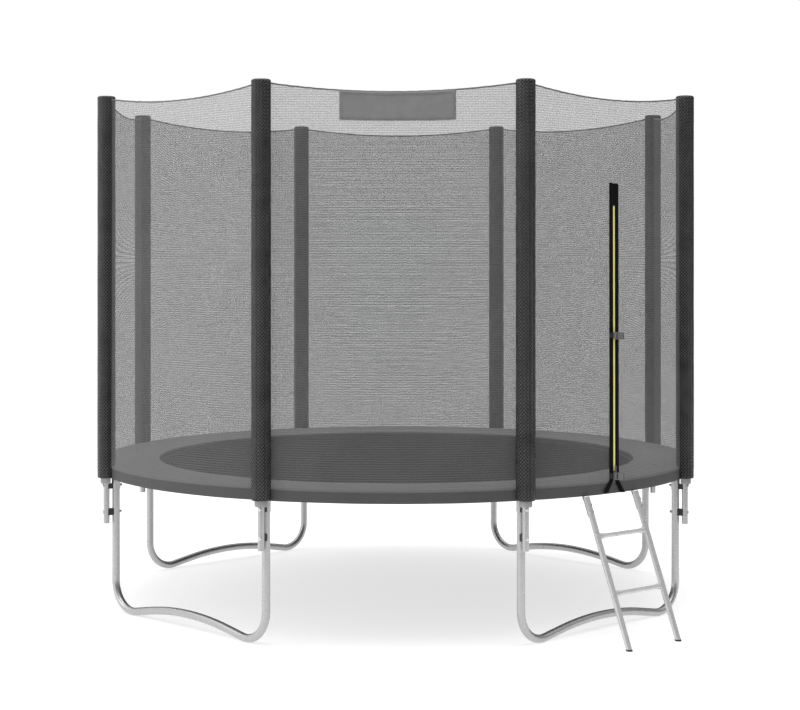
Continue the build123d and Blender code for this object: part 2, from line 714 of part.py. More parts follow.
def plug(height):
    """Looped end of the buckle with three prongs that slide into the socket."""
    middle_y = up_zip(height)
    with BuildPart() as piece:
        with BuildSketch(zip_layer(BUCKLE_LEVEL)):
            with Locations((PLUG_X, middle_y)):
                RectangleRounded(*PLUG_SIZE, BUCKLE_CORNER_R)
            with Locations((LOOP_X, middle_y)):
                Rectangle(*LOOP_SIZE, mode=Mode.SUBTRACT)
        extrude(amount=BUCKLE_DEPTH)
        with BuildSketch(zip_layer(BUCKLE_LEVEL + BUCKLE_WALL + PRONG_GAP)):
            for row in (-1, 0, 1):
                with Locations((PRONG_X, middle_y + row * PRONG_SPACING)):
                    Rectangle(*PRONG_SIZE)
        extrude(amount=BUCKLE_DEPTH - 2 * (BUCKLE_WALL + PRONG_GAP))
    return piece


def strap(height, sewn, bend, end):
    """Webbing sewn to the tape as far as the bend, then up and under the buckle."""
    rise = copysign(STRAP_RISE, end - bend)
    lap = copysign(1, rise)
    origin = zip_face.from_local_coords((0, up_zip(height) - STRAP_HEIGHT / 2, 0))
    with BuildPart() as piece:
        # z_dir is up the zip here, so the outward direction is -y
        with BuildSketch(Plane(origin=origin, x_dir=zip_side, z_dir=zip_up)):
            with BuildLine():
                Polyline(
                    (sewn, -STRAP_LOW),
                    (bend, -STRAP_LOW),
                    (bend + rise, -STRAP_HIGH),
                    (end, -STRAP_HIGH),
                    (end, -STRAP_HIGH - STRAP_THICKNESS),
                    (bend + rise - lap, -STRAP_HIGH - STRAP_THICKNESS),
                    (bend - lap, -STRAP_LOW - STRAP_THICKNESS),
                    (sewn, -STRAP_LOW - STRAP_THICKNESS),
                    close=True,
                )
            make_face()
        extrude(amount=STRAP_HEIGHT)
    return piece


with BuildPart() as sockets:
    for height in BUCKLE_HEIGHTS:
        add(socket(height).part)
save(sockets, "buckle_sockets")
with BuildPart() as socket_straps:
    for height in BUCKLE_HEIGHTS:
        add(strap(height, *SOCKET_STRAP).part)
save(socket_straps, "buckle_socket_straps")
for place, height in zip(("upper", "lower"), BUCKLE_HEIGHTS):
    save(plug(height), f"{place}_buckle_plug")
    save(strap(height, *PLUG_STRAP), f"{place}_buckle_strap")

# ---------------------------------------------------------------- ladder
stile_top = Vector(STILE_TOP_X, 0, STILE_TOP_Z)
stile_foot = Vector(STILE_FOOT_X, 0, 0)
stile_dir = (stile_top - stile_foot).normalized()
stile_normal = Vector(stile_dir.Z, 0, -stile_dir.X)  # square to the stile, pointing outward and up
SHOE_HEIGHT = 8
SHOE_THICKNESS = 0.4
PLUG_BOTTOM = 3
SHOE_PLUG_LENGTH = 30
OVERRUN = 30  # tubes are drawn past their ends and then cut level


def stile_x(height):
    return STILE_FOOT_X + (STILE_TOP_X - STILE_FOOT_X) * height / STILE_TOP_Z


def stile_plane(side, start):
    return Plane(origin=stile_foot + stile_dir * start + Vector(0, side * STILE_OFFSET, 0), z_dir=stile_dir)


def bolt_plane(side, height, start):
    on_axis = Vector(stile_x(height), side * STILE_OFFSET, height)
    return Plane(origin=on_axis + stile_normal * start, z_dir=stile_normal)


LADDER_BOLT_HEIGHTS = (592, 622)
LADDER_BOLT_R = 3
with BuildPart() as stiles:
    for side in (-1, 1):
        with BuildSketch(stile_plane(side, -OVERRUN)):
            Circle(STILE_R)
            Circle(STILE_R - STILE_WALL, mode=Mode.SUBTRACT)
        extrude(amount=(stile_top - stile_foot).length + OVERRUN)
    split(bisect_by=Plane.XY.offset(SHOE_HEIGHT), keep=Keep.TOP)
    for side in (-1, 1):
        for height in LADDER_BOLT_HEIGHTS:
            with BuildSketch(bolt_plane(side, height, -2 * STILE_R)):
                Circle(LADDER_BOLT_R + FIT)
            extrude(amount=4 * STILE_R, mode=Mode.SUBTRACT)
turned(stiles, "ladder_stiles", LADDER_AZIMUTH)

with BuildPart() as shoes:
    for side in (-1, 1):
        with BuildSketch(stile_plane(side, -OVERRUN)):
            Circle(STILE_R + SHOE_THICKNESS)
        extrude(amount=2 * OVERRUN)
    split(bisect_by=Plane.XY.offset(SHOE_HEIGHT - FIT), keep=Keep.BOTTOM)
    split(bisect_by=Plane.XY, keep=Keep.TOP)
    for side in (-1, 1):
        with BuildSketch(stile_plane(side, PLUG_BOTTOM)):
            Circle(STILE_R - STILE_WALL - 2 * FIT)
        extrude(amount=SHOE_PLUG_LENGTH)
    split(bisect_by=Plane.XY, keep=Keep.TOP)
turned(shoes, "ladder_feet", LADDER_AZIMUTH)

# a rung is a tube whose ends are spread along the stile where they are welded to it
FLARE_START = 112
FLARE_HALF_HEIGHT = 17
RUNG_WALL = 2
WELD_GAP = 0.02
with BuildPart() as rungs:
    for height in RUNG_HEIGHTS:
        centre = Vector(stile_x(height), 0, height)
        middle = Plane(origin=centre, x_dir=stile_dir, z_dir=(0, 1, 0))
        with BuildSketch(middle):
            Circle(RUNG_R)
        extrude(amount=FLARE_START, both=True)
        for side in (-1, 1):
            with BuildSketch(middle.offset(side * FLARE_START)):
                Circle(RUNG_R)
            with BuildSketch(middle.offset(side * STILE_OFFSET)):
                Ellipse(FLARE_HALF_HEIGHT, RUNG_R - 1)
            loft()
        with BuildSketch(middle):
            Circle(RUNG_R - RUNG_WALL)
        extrude(amount=STILE_OFFSET + 1, both=True, mode=Mode.SUBTRACT)
    for side in (-1, 1):
        with BuildSketch(stile_plane(side, 0)):
            Circle(STILE_R + WELD_GAP)
        extrude(amount=STILE_TOP_Z, mode=Mode.SUBTRACT)
turned(rungs, "ladder_rungs", LADDER_AZIMUTH)

# The hook is a bent steel strip: over the top ring, down inside the skirt, then along the stile.
# Drawn flat: x outward and y up, measured from the ring's centre line beside the ladder.
axis_x = sqrt(RING_R**2 - STILE_OFFSET**2)
strip_face = STILE_R + STRIP_THICKNESS / 2 + FIT
lean_x = stile_dir.Z
lean_z = -stile_dir.X


def beside_stile(height):
    """Point on the strip's centre line next to the stile, from the ring's centre line."""
    return (stile_x(height) - strip_face * lean_x - axis_x, height - strip_face * lean_z - RING_Z)


HOOK_WRAP = 140
HOOK_DROP = 30
STRIP_SPAN = (640, 578)  # heights between which the strip lies along the stile
with BuildPart() as strip:
    with BuildLine() as strip_path:
        wrap = CenterArc((0, 0), STRIP_R, HOOK_WRAP, -HOOK_WRAP)
        Polyline(wrap @ 1, (STRIP_R, -HOOK_DROP), *[beside_stile(height) for height in STRIP_SPAN])
    with BuildSketch(Plane(origin=wrap @ 0, x_dir=(0, 0, 1), z_dir=wrap % 0)):
        Rectangle(STRIP_WIDTH, STRIP_THICKNESS)
    sweep(path=strip_path.line, transition=Transition.RIGHT)
with BuildPart() as hooks:
    for side in (-1, 1):
        beside_ring = (axis_x, side * STILE_OFFSET, RING_Z)
        with Locations(Plane(origin=beside_ring, x_dir=(1, 0, 0), z_dir=(0, -1, 0))):
            add(strip.part)
    for side in (-1, 1):
        for height in LADDER_BOLT_HEIGHTS:
            with BuildSketch(bolt_plane(side, height, -2 * STILE_R)):
                Circle(LADDER_BOLT_R + FIT)
            extrude(amount=2 * STILE_R, mode=Mode.SUBTRACT)
turned(hooks, "ladder_hooks", LADDER_AZIMUTH)

LADDER_NUT_R = 5.7
LADDER_NUT_HEIGHT = 4
LADDER_HEAD_HEIGHT = 3
bolt_start = -STILE_R - STRIP_THICKNESS - LADDER_NUT_HEIGHT - 0.5
with BuildPart() as ladder_bolts:
    for side in (-1, 1):
        for height in LADDER_BOLT_HEIGHTS:
            with BuildSketch(bolt_plane(side, height, bolt_start)):
                Circle(LADDER_BOLT_R)
            extrude(amount=STILE_R - bolt_start + 1)
            with BuildSketch(bolt_plane(side, height, STILE_R + FIT)):
                Circle(2 * LADDER_BOLT_R)
            extrude(amount=LADDER_HEAD_HEIGHT)
            with BuildSketch(bolt_plane(side, height, bolt_start + 3 * FIT)):
                RegularPolygon(LADDER_NUT_R, 6)
            extrude(amount=LADDER_NUT_HEIGHT)
turned(ladder_bolts, "ladder_bolts", LADDER_AZIMUTH)
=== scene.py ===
"""Looks of the trampoline: net, padded sleeves, pad, mat, springs, zip door and every material.

Metres. An azimuth is measured from the front (-Y) towards +X, as in the frame.
"""

import json
from math import atan2, cos, hypot, pi, radians, sin, tan

import bpy
from mathutils import Matrix, Vector, noise
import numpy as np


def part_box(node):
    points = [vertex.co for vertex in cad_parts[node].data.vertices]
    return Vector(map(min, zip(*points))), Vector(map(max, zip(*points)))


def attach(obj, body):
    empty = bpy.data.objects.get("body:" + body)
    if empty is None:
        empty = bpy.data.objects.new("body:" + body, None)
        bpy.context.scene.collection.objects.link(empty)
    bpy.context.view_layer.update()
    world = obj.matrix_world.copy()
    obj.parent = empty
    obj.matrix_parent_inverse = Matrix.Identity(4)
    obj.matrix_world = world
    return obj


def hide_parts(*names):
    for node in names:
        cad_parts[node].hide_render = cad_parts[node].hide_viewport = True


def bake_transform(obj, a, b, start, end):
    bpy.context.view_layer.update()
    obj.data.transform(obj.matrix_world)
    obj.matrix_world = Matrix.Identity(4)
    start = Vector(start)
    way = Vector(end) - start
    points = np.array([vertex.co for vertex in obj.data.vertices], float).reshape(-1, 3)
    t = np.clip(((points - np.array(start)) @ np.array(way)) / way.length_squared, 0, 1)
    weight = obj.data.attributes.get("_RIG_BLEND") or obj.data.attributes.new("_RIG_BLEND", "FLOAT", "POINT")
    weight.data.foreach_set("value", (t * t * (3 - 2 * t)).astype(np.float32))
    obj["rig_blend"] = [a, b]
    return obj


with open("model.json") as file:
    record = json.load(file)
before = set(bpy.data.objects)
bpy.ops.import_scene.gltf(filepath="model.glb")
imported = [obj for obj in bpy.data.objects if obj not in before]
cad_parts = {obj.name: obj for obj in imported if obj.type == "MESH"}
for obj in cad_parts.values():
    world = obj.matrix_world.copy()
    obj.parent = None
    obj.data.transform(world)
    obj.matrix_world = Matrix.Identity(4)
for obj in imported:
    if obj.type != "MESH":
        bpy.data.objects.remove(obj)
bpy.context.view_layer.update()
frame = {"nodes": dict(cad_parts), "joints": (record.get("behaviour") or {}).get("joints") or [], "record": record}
joints = {joint["name"]: joint for joint in frame["joints"]}

# ---------------------------- sizes read from the frame
SIDES = 8
STEP = 2 * pi / SIDES
HALF = STEP / 2
NET_HALF = 0.0008  # half the thickness of the CAD's net


def middle(node):
    low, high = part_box(node)
    return (Vector(low) + Vector(high)) / 2


def top_of(node):
    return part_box(node)[1][2]


def foot_of(node):
    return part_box(node)[0][2]


def outer_of(node):
    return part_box(node)[1][0]


sleeve_middle = middle("pole_sleeve_1")
POLE_RING_R = hypot(sleeve_middle.x, sleeve_middle.y)
SLEEVE_R = (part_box("pole_sleeve_1")[1][0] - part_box("pole_sleeve_1")[0][0]) / 2
SLEEVE_TOP = top_of("pole_sleeve_1")
SLEEVE_FOOT = foot_of("pole_sleeve_1")
FOAM_TOP = top_of("pole_foam")
FOAM_FOOT = foot_of("pole_foam")
PAD_R = outer_of("safety_pad")
PAD_TOP = top_of("safety_pad")
PAD_FOOT = foot_of("safety_pad")
MAT_R = outer_of("jumping_mat")
MAT_TOP = top_of("jumping_mat")
MAT_FOOT = foot_of("jumping_mat")
NET_FOOT = foot_of("safety_net")
NET_FOOT_R = outer_of("safety_net") - NET_HALF
SPRING_COUNT = 64

# sizes that the boxes don't give
NET_LOFT_Z = 2.560  # the net's panels are round at their foot and flat at this height
NET_LOFT_DISTANCE = 1.4288  # and there their middles are this far from the centre
HEM_POLE_Z = 2.544  # the net's top beside a pole
HEM_MID_Z = 2.499  # and halfway between two poles
PAD_INNER_R = 1.238
PAD_CORNER_R = 1.500
SLEEVE_FLAT_R = 1.5323  # the sleeves are pressed flat here by the pad's skirt
SLEEVE_FLAT_TOP = 0.742
POLE_TUBE_R = 0.015
FOAM_R = 0.030


def outward(azimuth):
    return Vector((sin(azimuth), -cos(azimuth), 0))


def sideways(azimuth):
    return Vector((cos(azimuth), sin(azimuth), 0))


def ring_point(azimuth, radius, z):
    """The point at a height z and a radius from the upright axis."""
    return outward(azimuth) * radius + Vector((0, 0, z))


def noise_round(azimuth, spread, level):
    """Smooth noise that closes on itself round the upright axis."""
    return noise.noise(Vector((cos(azimuth) * spread, sin(azimuth) * spread, level)))


UP = Vector((0, 0, 1))


# ---------------------------- mesh helpers
def mesh_piece(name, points, faces, uvs=None, smooth=True):
    """An object from points and faces; uvs holds one (u, v) for each point."""
    mesh = bpy.data.meshes.new(name)
    mesh.from_pydata([tuple(p) for p in points], [], faces)
    mesh.validate()
    if uvs:
        layer = mesh.uv_layers.new(name="UVMap")
        for loop in mesh.loops:
            layer.data[loop.index].uv = uvs[loop.vertex_index]
    mesh.polygons.foreach_set("use_smooth", [smooth] * len(mesh.polygons))
    piece = bpy.data.objects.new(name, mesh)
    bpy.context.scene.collection.objects.link(piece)
    return piece


class Builder:
    """Collects grids of quads and makes one piece of them."""

    def __init__(self):
        self.points = []
        self.faces = []
        self.uvs = []

    def grid(self, place, columns, rows, wrap_columns=False, wrap_rows=False, uv=None, flip=False):
        """place(i, j) gives a point for column i of columns and row j of rows."""
        base = len(self.points)
        for j in range(rows):
            for i in range(columns):
                self.points.append(Vector(place(i, j)))
                self.uvs.append(uv(i, j) if uv else (i / max(1, columns - 1), j / max(1, rows - 1)))
        for j in range(rows if wrap_rows else rows - 1):
            for i in range(columns if wrap_columns else columns - 1):
                quad = (
                    base + j * columns + i,
                    base + j * columns + (i + 1) % columns,
                    base + (j + 1) % rows * columns + (i + 1) % columns,
                    base + (j + 1) % rows * columns + i,
                )
                self.faces.append(quad[::-1] if flip else quad)
        return base

    def cap(self, start, count, flip=False):
        """Closes a ring of points that follow each other."""
        ring = tuple(range(start, start + count))
        self.faces.append(ring[::-1] if flip else ring)

    def bar(self, place, sides, rows, uv=None, flip=False):
        """A grid closed round its columns, with a flat cap at each end."""
        base = self.grid(place, sides, rows, wrap_columns=True, uv=uv, flip=flip)
        self.cap(base, sides, not flip)
        self.cap(base + (rows - 1) * sides, sides, flip)

    def tube(self, path, radius, sides):
        """A round wire along a list of points, with flat ends."""
        frames = wire_frames(path)

        def place(i, j):
            angle = 2 * pi * i / sides
            first, second = frames[j]
            return path[j] + (first * cos(angle) + second * sin(angle)) * radius

        self.bar(place, sides, len(path))

    def box(self, centre, axes, sizes, bevel=0.0):
        """A box with softened edges: axes are three unit vectors and sizes the full lengths."""
        half = [size / 2 for size in sizes]
        bevel = min(bevel, min(half) * 0.9)
        levels = ((-half[2], bevel), (-half[2] + bevel, 0), (half[2] - bevel, 0), (half[2], bevel))
        outline = []
        for sx, sy in ((1, 1), (-1, 1), (-1, -1), (1, -1)):
            corner = ((half[0] - bevel, half[1]), (half[0], half[1] - bevel))
            pair = [(sx * a, sy * b) for a, b in corner]
            outline += pair if sx * sy < 0 else pair[::-1]

        def place(i, j):
            x, y = outline[i]
            z, inset = levels[j]
            shrink_x = 1 - inset / half[0]
            shrink_y = 1 - inset / half[1]
            return Vector(centre) + axes[0] * x * shrink_x + axes[1] * y * shrink_y + axes[2] * z

        self.bar(place, 8, 4)

    def piece(self, name, smooth=True):
        return mesh_piece(name, self.points, self.faces, self.uvs, smooth)


def wire_frames(path):
    """Two unit vectors square to the path at each point, carried along without twisting."""
    ahead = path[1:] + path[-1:]
    behind = path[:1] + path[:-1]
    tangents = [(after - before).normalized() for after, before in zip(ahead, behind)]
    up = UP if abs(tangents[0].z) < 0.9 else Vector((1, 0, 0))
    first = tangents[0].cross(up).normalized()
    frames = []
    for tangent in tangents:
        first = (first - tangent * first.dot(tangent)).normalized()
        frames.append((first, tangent.cross(first)))
    return frames


def finish_piece(piece, body, slot, replaced=(), look=None):
    piece.data.materials.append(MATERIALS[look or slot])
    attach(piece, body)
    if replaced:
        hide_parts(*replaced)
    return piece


# ---------------------------- material helpers
WHITE = (1.0, 1.0, 1.0, 1.0)


def add_node(tree, kind, inputs=None, **settings):
    """A node whose inputs are sockets to link or constant values."""
    node = tree.nodes.new(kind)
    for key, value in settings.items():
        setattr(node, key, value)
    for key, value in (inputs or {}).items():
        if isinstance(value, bpy.types.NodeSocket):
            tree.links.new(value, node.inputs[key])
        else:
            node.inputs[key].default_value = value
    return node


class Nodes:
    """A short way to write node graphs."""

    def __init__(self, name, **settings):
        self.material = bpy.data.materials.new(name)
        self.material.use_nodes = True
        self.tree = self.material.node_tree
        self.shader = self.tree.nodes["Principled BSDF"]
        for socket, value in settings.items():
            self.shader.inputs[socket.replace("_", " ")].default_value = value

    def add(self, kind, inputs=None, **settings):
        return add_node(self.tree, kind, inputs, **settings)

    def math(self, operation, first, second=0.0, third=0.0):
        inputs = {0: first, 1: second, 2: third}
        return self.add("ShaderNodeMath", inputs, operation=operation).outputs[0]

    def blend(self, first, share, second, other_share):
        """first * share + second * other_share."""
        part = self.math("MULTIPLY", first, share)
        return self.math("ADD", part, self.math("MULTIPLY", second, other_share))

    def cells(self, vector, scale, output):
        inputs = {"Vector": vector, "Scale": scale}
        return self.add("ShaderNodeTexVoronoi", inputs, feature="F1").outputs[output]

    def stretched(self, vector, factors):
        return self.add("ShaderNodeMapping", {"Vector": vector, "Scale": factors}).outputs[0]

    def place(self):
        return self.add("ShaderNodeNewGeometry").outputs["Position"]

    def object_place(self):
        return self.add("ShaderNodeTexCoord").outputs["Object"]

    def uv(self):
        return self.add("ShaderNodeTexCoord").outputs["UV"]

    def split(self, vector):
        return self.add("ShaderNodeSeparateXYZ", {0: vector}).outputs

    def noise(self, vector, scale, detail=3.0, rough=0.55):
        inputs = {"Vector": vector, "Scale": scale, "Detail": detail, "Roughness": rough}
        return self.add("ShaderNodeTexNoise", inputs).outputs["Fac"]

    def ramp(self, value, stops):
        """stops is a list of (position, grey or colour)."""
        node = self.add("ShaderNodeValToRGB", {"Fac": value})
        elements = node.color_ramp.elements
        while len(elements) < len(stops):
            elements.new(0.5)
        for element, (position, colour) in zip(elements, stops):
            element.position = position
            grey = (colour, colour, colour) if isinstance(colour, (int, float)) else colour
            element.color = (*grey, 1.0)
        return node.outputs["Color"]

    def bump(self, height, strength, distance, below=None):
        inputs = {"Height": height, "Strength": strength, "Distance": distance}
        if below is not None:
            inputs["Normal"] = below
        return self.add("ShaderNodeBump", inputs).outputs["Normal"]

    def to(self, socket, value):
        self.tree.links.new(value, self.shader.inputs[socket])


def galvanised(name="galvanised_tube", metallic=0.70, tone_low=0.46, tone_high=0.54):
    """Zinc-coated tube: a faint spangle and a few dull patches."""
    m = Nodes(name, Metallic=metallic, Specular_IOR_Level=0.6)
    place = m.object_place()
    cloud = m.noise(place, 14.0, 4.0)
    spangle = m.split(m.cells(place, 160.0, "Color"))[0]
    fine = m.noise(place, 420.0, 2.0)
    tone = m.blend(cloud, 0.6, spangle, 0.12)
    m.to("Base Color", m.ramp(tone, [(0.25, tone_low), (0.85, tone_high)]))
    m.to("Roughness", m.ramp(m.blend(cloud, 1.0, fine, 0.1), [(0.3, 0.26), (0.9, 0.30)]))
    m.to("Normal", m.bump(fine, 0.02, 0.0002))
    return m.material


def zinc_hardware():
    """Bright zinc plate with faint turning marks."""
    m = Nodes("zinc_hardware", Metallic=1.0)
    place = m.object_place()
    cloud = m.noise(place, 220.0, 3.0)
    m.to("Base Color", m.ramp(cloud, [(0.3, (0.60, 0.61, 0.62)), (0.8, (0.78, 0.78, 0.77))]))
    m.to("Roughness", m.ramp(m.noise(place, 600.0, 2.0), [(0.3, 0.22), (0.8, 0.38)]))
    m.to("Normal", m.bump(cloud, 0.05, 0.0003))
    return m.material


def spring_steel():
    """Zinc-plated spring wire, a little dulled in its coils."""
    m = Nodes("spring_steel", Metallic=0.95)
    place = m.object_place()
    cloud = m.noise(place, 90.0, 3.0)
    m.to("Base Color", m.ramp(cloud, [(0.3, 0.42), (0.8, 0.62)]))
    m.to("Roughness", m.ramp(cloud, [(0.3, 0.42), (0.8, 0.28)]))
    m.to("Normal", m.bump(m.noise(place, 900.0, 2.0), 0.06, 0.0002))
    return m.material


def moulded_plastic(name, low, high, rough):
    """Injection-moulded plastic with a fine spark-eroded grain."""
    m = Nodes(name)
    place = m.object_place()
    grain = m.noise(place, 1800.0, 2.0)
    cloud = m.noise(place, 60.0, 3.0)
    m.to("Base Color", m.ramp(cloud, [(0.3, low), (0.8, high)]))
    m.to("Roughness", m.ramp(m.blend(cloud, 1.0, grain, 0.3), [(0.3, rough), (1.0, rough + 0.2)]))
    m.to("Normal", m.bump(grain, 0.15, 0.0003))
    return m.material


def closed_cell_foam():
    """Grey polyethylene foam with fine open cells at its skin."""
    m = Nodes("grey_foam", Roughness=0.9)
    place = m.object_place()
    cells = m.cells(place, 700.0, "Distance")
    cloud = m.noise(place, 40.0, 4.0)
    m.to("Base Color", m.ramp(cloud, [(0.3, 0.30), (0.8, 0.42)]))
    m.to("Normal", m.bump(cells, 0.5, 0.0008))
    return m.material


def woven(m, across, along, pitch):
    """Height of a plain weave: over and under threads of the given pitch, 0 to 1."""
    column = m.math("MULTIPLY", across, 1 / pitch)
    row = m.math("MULTIPLY", along, 1 / pitch)
    warp = m.math("ABSOLUTE", m.math("SINE", m.math("MULTIPLY", column, pi)))
    weft = m.math("ABSOLUTE", m.math("SINE", m.math("MULTIPLY", row, pi)))
    cell = m.math("ADD", m.math("FLOOR", column), m.math("FLOOR", row))
    over = m.math("FLOORED_MODULO", cell, 2.0)
    under = m.math("SUBTRACT", 1.0, over)
    return m.math("ADD", m.math("MULTIPLY", warp, over), m.math("MULTIPLY", weft, under))


def embossed_pvc():
    """Black PVC cloth of the pole sleeves: diamond-pressed weave under a thin glossy skin, with creases and
    painted highlights on the diamonds' tops.
    """
    m = Nodes("black_pvc", Specular_IOR_Level=0.35, Coat_Weight=0.1, Coat_Roughness=0.12)
    around, height, _ = m.split(m.uv())
    slant = m.math("ADD", around, height)
    other = m.math("SUBTRACT", around, height)
    weave = woven(m, slant, other, 0.0165)
    place = m.object_place()
    crease = m.noise(m.stretched(place, (1.0, 1.0, 0.3)), 38.0, 5.0, 0.6)
    cloud = m.noise(place, 12.0, 3.0)
    # painted highlight: the tops of the pressed diamonds are lighter in colour, standing in for glints off the
    # glossy weave
    painted_glint = m.math("MULTIPLY", m.math("POWER", weave, 3.0), m.math("ADD", 0.5, cloud))
    m.to("Base Color", m.ramp(painted_glint, [(0.1, 0.0008), (0.5, 0.008), (1.0, 0.085)]))
    m.to("Roughness", m.ramp(m.blend(crease, 1.0, weave, 0.2), [(0.3, 0.16), (0.9, 0.34)]))
    pressed = m.bump(weave, 1.0, 0.0030)
    m.to("Normal", m.bump(crease, 0.5, 0.005, pressed))
    return m.material


SKIRT_PAINTED_SHADE = 0.4  # painted shade: the skirt's colour is this share of the top's, for the dimmer light on its upright sides
SKIRT_EDGE = 0.016  # this far below the pad's top the painted shade is full
TOP_EDGE = 0.010  # and down to here the top's colour has no painted shade


def pad_pvc():
    """Matt grey PVC-coated cloth of the safety pad, with painted shade that darkens the skirt."""
    m = Nodes("grey_pvc", Specular_IOR_Level=0.2)
    place = m.object_place()
    x, y, z = m.split(place)
    weave = woven(m, x, y, 0.0035)
    cloud = m.noise(place, 5.0, 4.0)
    smudge = m.noise(place, 26.0, 5.0, 0.6)
    tone = m.blend(cloud, 0.5, smudge, 0.5)
    # painted shade: the skirt is the same cloth as the top, darkened in colour as if it stood in shade
    edges = {"From Min": PAD_TOP - SKIRT_EDGE, "From Max": PAD_TOP - TOP_EDGE}
    high = m.add("ShaderNodeMapRange", {"Value": z, **edges}).outputs[0]
    painted_skirt_shade = m.add("ShaderNodeMapRange", {"Value": high, "To Min": SKIRT_PAINTED_SHADE, "To Max": 1.0}).outputs[0]
    colour = m.ramp(tone, [(0.3, 0.190), (0.5, 0.208), (0.75, 0.226)])
    shaded = m.add("ShaderNodeVectorMath", {0: colour, "Scale": painted_skirt_shade}, operation="SCALE").outputs[0]
    m.to("Base Color", shaded)
    m.to("Roughness", m.ramp(smudge, [(0.3, 0.55), (0.8, 0.72)]))
    ripple = m.bump(smudge, 0.25, 0.004)
    m.to("Normal", m.bump(weave, 0.25, 0.0005, ripple))
    return m.material


def mat_cloth():
    """Black woven polypropylene of the jumping mat."""
    m = Nodes("mat_fabric", Specular_IOR_Level=0.05)
    place = m.object_place()
    x, y, _ = m.split(place)
    weave = woven(m, x, y, 0.0028)
    band = m.noise(m.stretched(place, (1.0, 30.0, 1.0)), 8.0, 3.0)
    cloud = m.noise(place, 3.0, 4.0)
    m.to("Base Color", m.ramp(m.blend(cloud, 0.6, band, 0.4), [(0.3, 0.004), (0.7, 0.010)]))
    m.to("Roughness", m.ramp(weave, [(0.0, 0.75), (1.0, 0.5)]))
    m.to("Normal", m.bump(weave, 0.35, 0.0006))
    return m.material


def webbing_cloth(name="webbing", low=0.012, high=0.03, pitch=0.0022, shine=0.5):
    """Ribbed polypropylene webbing; u runs across it and v along it, in metres."""
    m = Nodes(name, Roughness=0.75, Specular_IOR_Level=shine, Sheen_Weight=0.4 * shine, Sheen_Roughness=0.4)
    across, along, _ = m.split(m.uv())
    weave = woven(m, across, along, pitch)
    cloud = m.noise(m.object_place(), 60.0, 3.0)
    m.to("Base Color", m.ramp(m.blend(weave, 0.5, cloud, 0.5), [(0.2, low), (0.9, high)]))
    m.to("Normal", m.bump(weave, 0.5, 0.0006))
    return m.material


NET_PITCH = 0.0024  # between fine strands
NET_COURSE = 0.0108  # between the heavier knitted rows
NET_WALE = 0.0135  # and between the heavier columns
NET_WANDER = 0.012  # how far the fine columns stray, before the noise scales it
NET_STRAND = 0.335  # share of the pitch that a strand fills


def net_mesh():
    """Knitted polyethylene mesh: fine open cells, closing up a little at every heavier row."""
    m = Nodes("net_mesh", Roughness=0.7, Specular_IOR_Level=0.2)
    across, along, _ = m.split(m.uv())
    # the fine columns wander a little, as in real knitting
    wander = m.math("MULTIPLY", m.noise(m.object_place(), 70.0, 1.0), NET_WANDER)
    column = m.math("PINGPONG", m.math("MULTIPLY", m.math("ADD", across, wander), 2 / NET_PITCH), 1.0)
    row = m.math("PINGPONG", m.math("MULTIPLY", along, 2 / NET_PITCH), 1.0)
    course = m.math("COSINE", m.math("MULTIPLY", along, 2 * pi / NET_COURSE))
    wale = m.math("COSINE", m.math("MULTIPLY", across, 2 * pi / NET_WALE))
    patchy = m.math("SUBTRACT", m.noise(m.object_place(), 9.0, 3.0), 0.5)
    uneven = m.math("MULTIPLY", patchy, 0.04)
    heavy = m.math("ADD", m.math("MULTIPLY", course, 0.15), uneven)
    level = m.math("LESS_THAN", row, m.math("ADD", NET_STRAND, heavy))
    upright = m.math("LESS_THAN", column, m.math("ADD", NET_STRAND, m.math("MULTIPLY", wale, 0.03)))
    strand = m.math("MAXIMUM", upright, level)
    tint = m.noise(m.object_place(), 3.0, 3.0)
    m.to("Base Color", m.ramp(tint, [(0.3, 0.140), (0.7, 0.165)]))
    clear = m.add("ShaderNodeBsdfTransparent")
    mix = m.add("ShaderNodeMixShader", {0: strand, 1: clear.outputs[0], 2: m.shader.outputs[0]})
    output = m.tree.nodes["Material Output"]
    m.tree.links.new(mix.outputs[0], output.inputs["Surface"])
    return m.material


def grey_cloth():
    """Plain woven cloth of the panel in the net."""
    m = Nodes("grey_cloth", Roughness=0.8, Sheen_Weight=0.1)
    across, along, _ = m.split(m.uv())
    weave = woven(m, across, along, 0.0018)
    cloud = m.noise(m.object_place(), 18.0, 4.0)
    m.to("Base Color", m.ramp(m.blend(cloud, 0.7, weave, 0.3), [(0.3, 0.20), (0.8, 0.25)]))
    m.to("Normal", m.bump(weave, 0.35, 0.0004))
    return m.material


def coil_nylon():
    """Pale yellow nylon of the zip's coil."""
    m = Nodes("zip_coil_yellow", Roughness=0.4, Subsurface_Weight=0.1)
    cloud = m.noise(m.object_place(), 120.0, 3.0)
    m.to("Base Color", m.ramp(cloud, [(0.3, (0.95, 0.85, 0.22)), (0.8, (1.0, 0.93, 0.34))]))
    m.to("Normal", m.bump(cloud, 0.1, 0.0003))
    return m.material


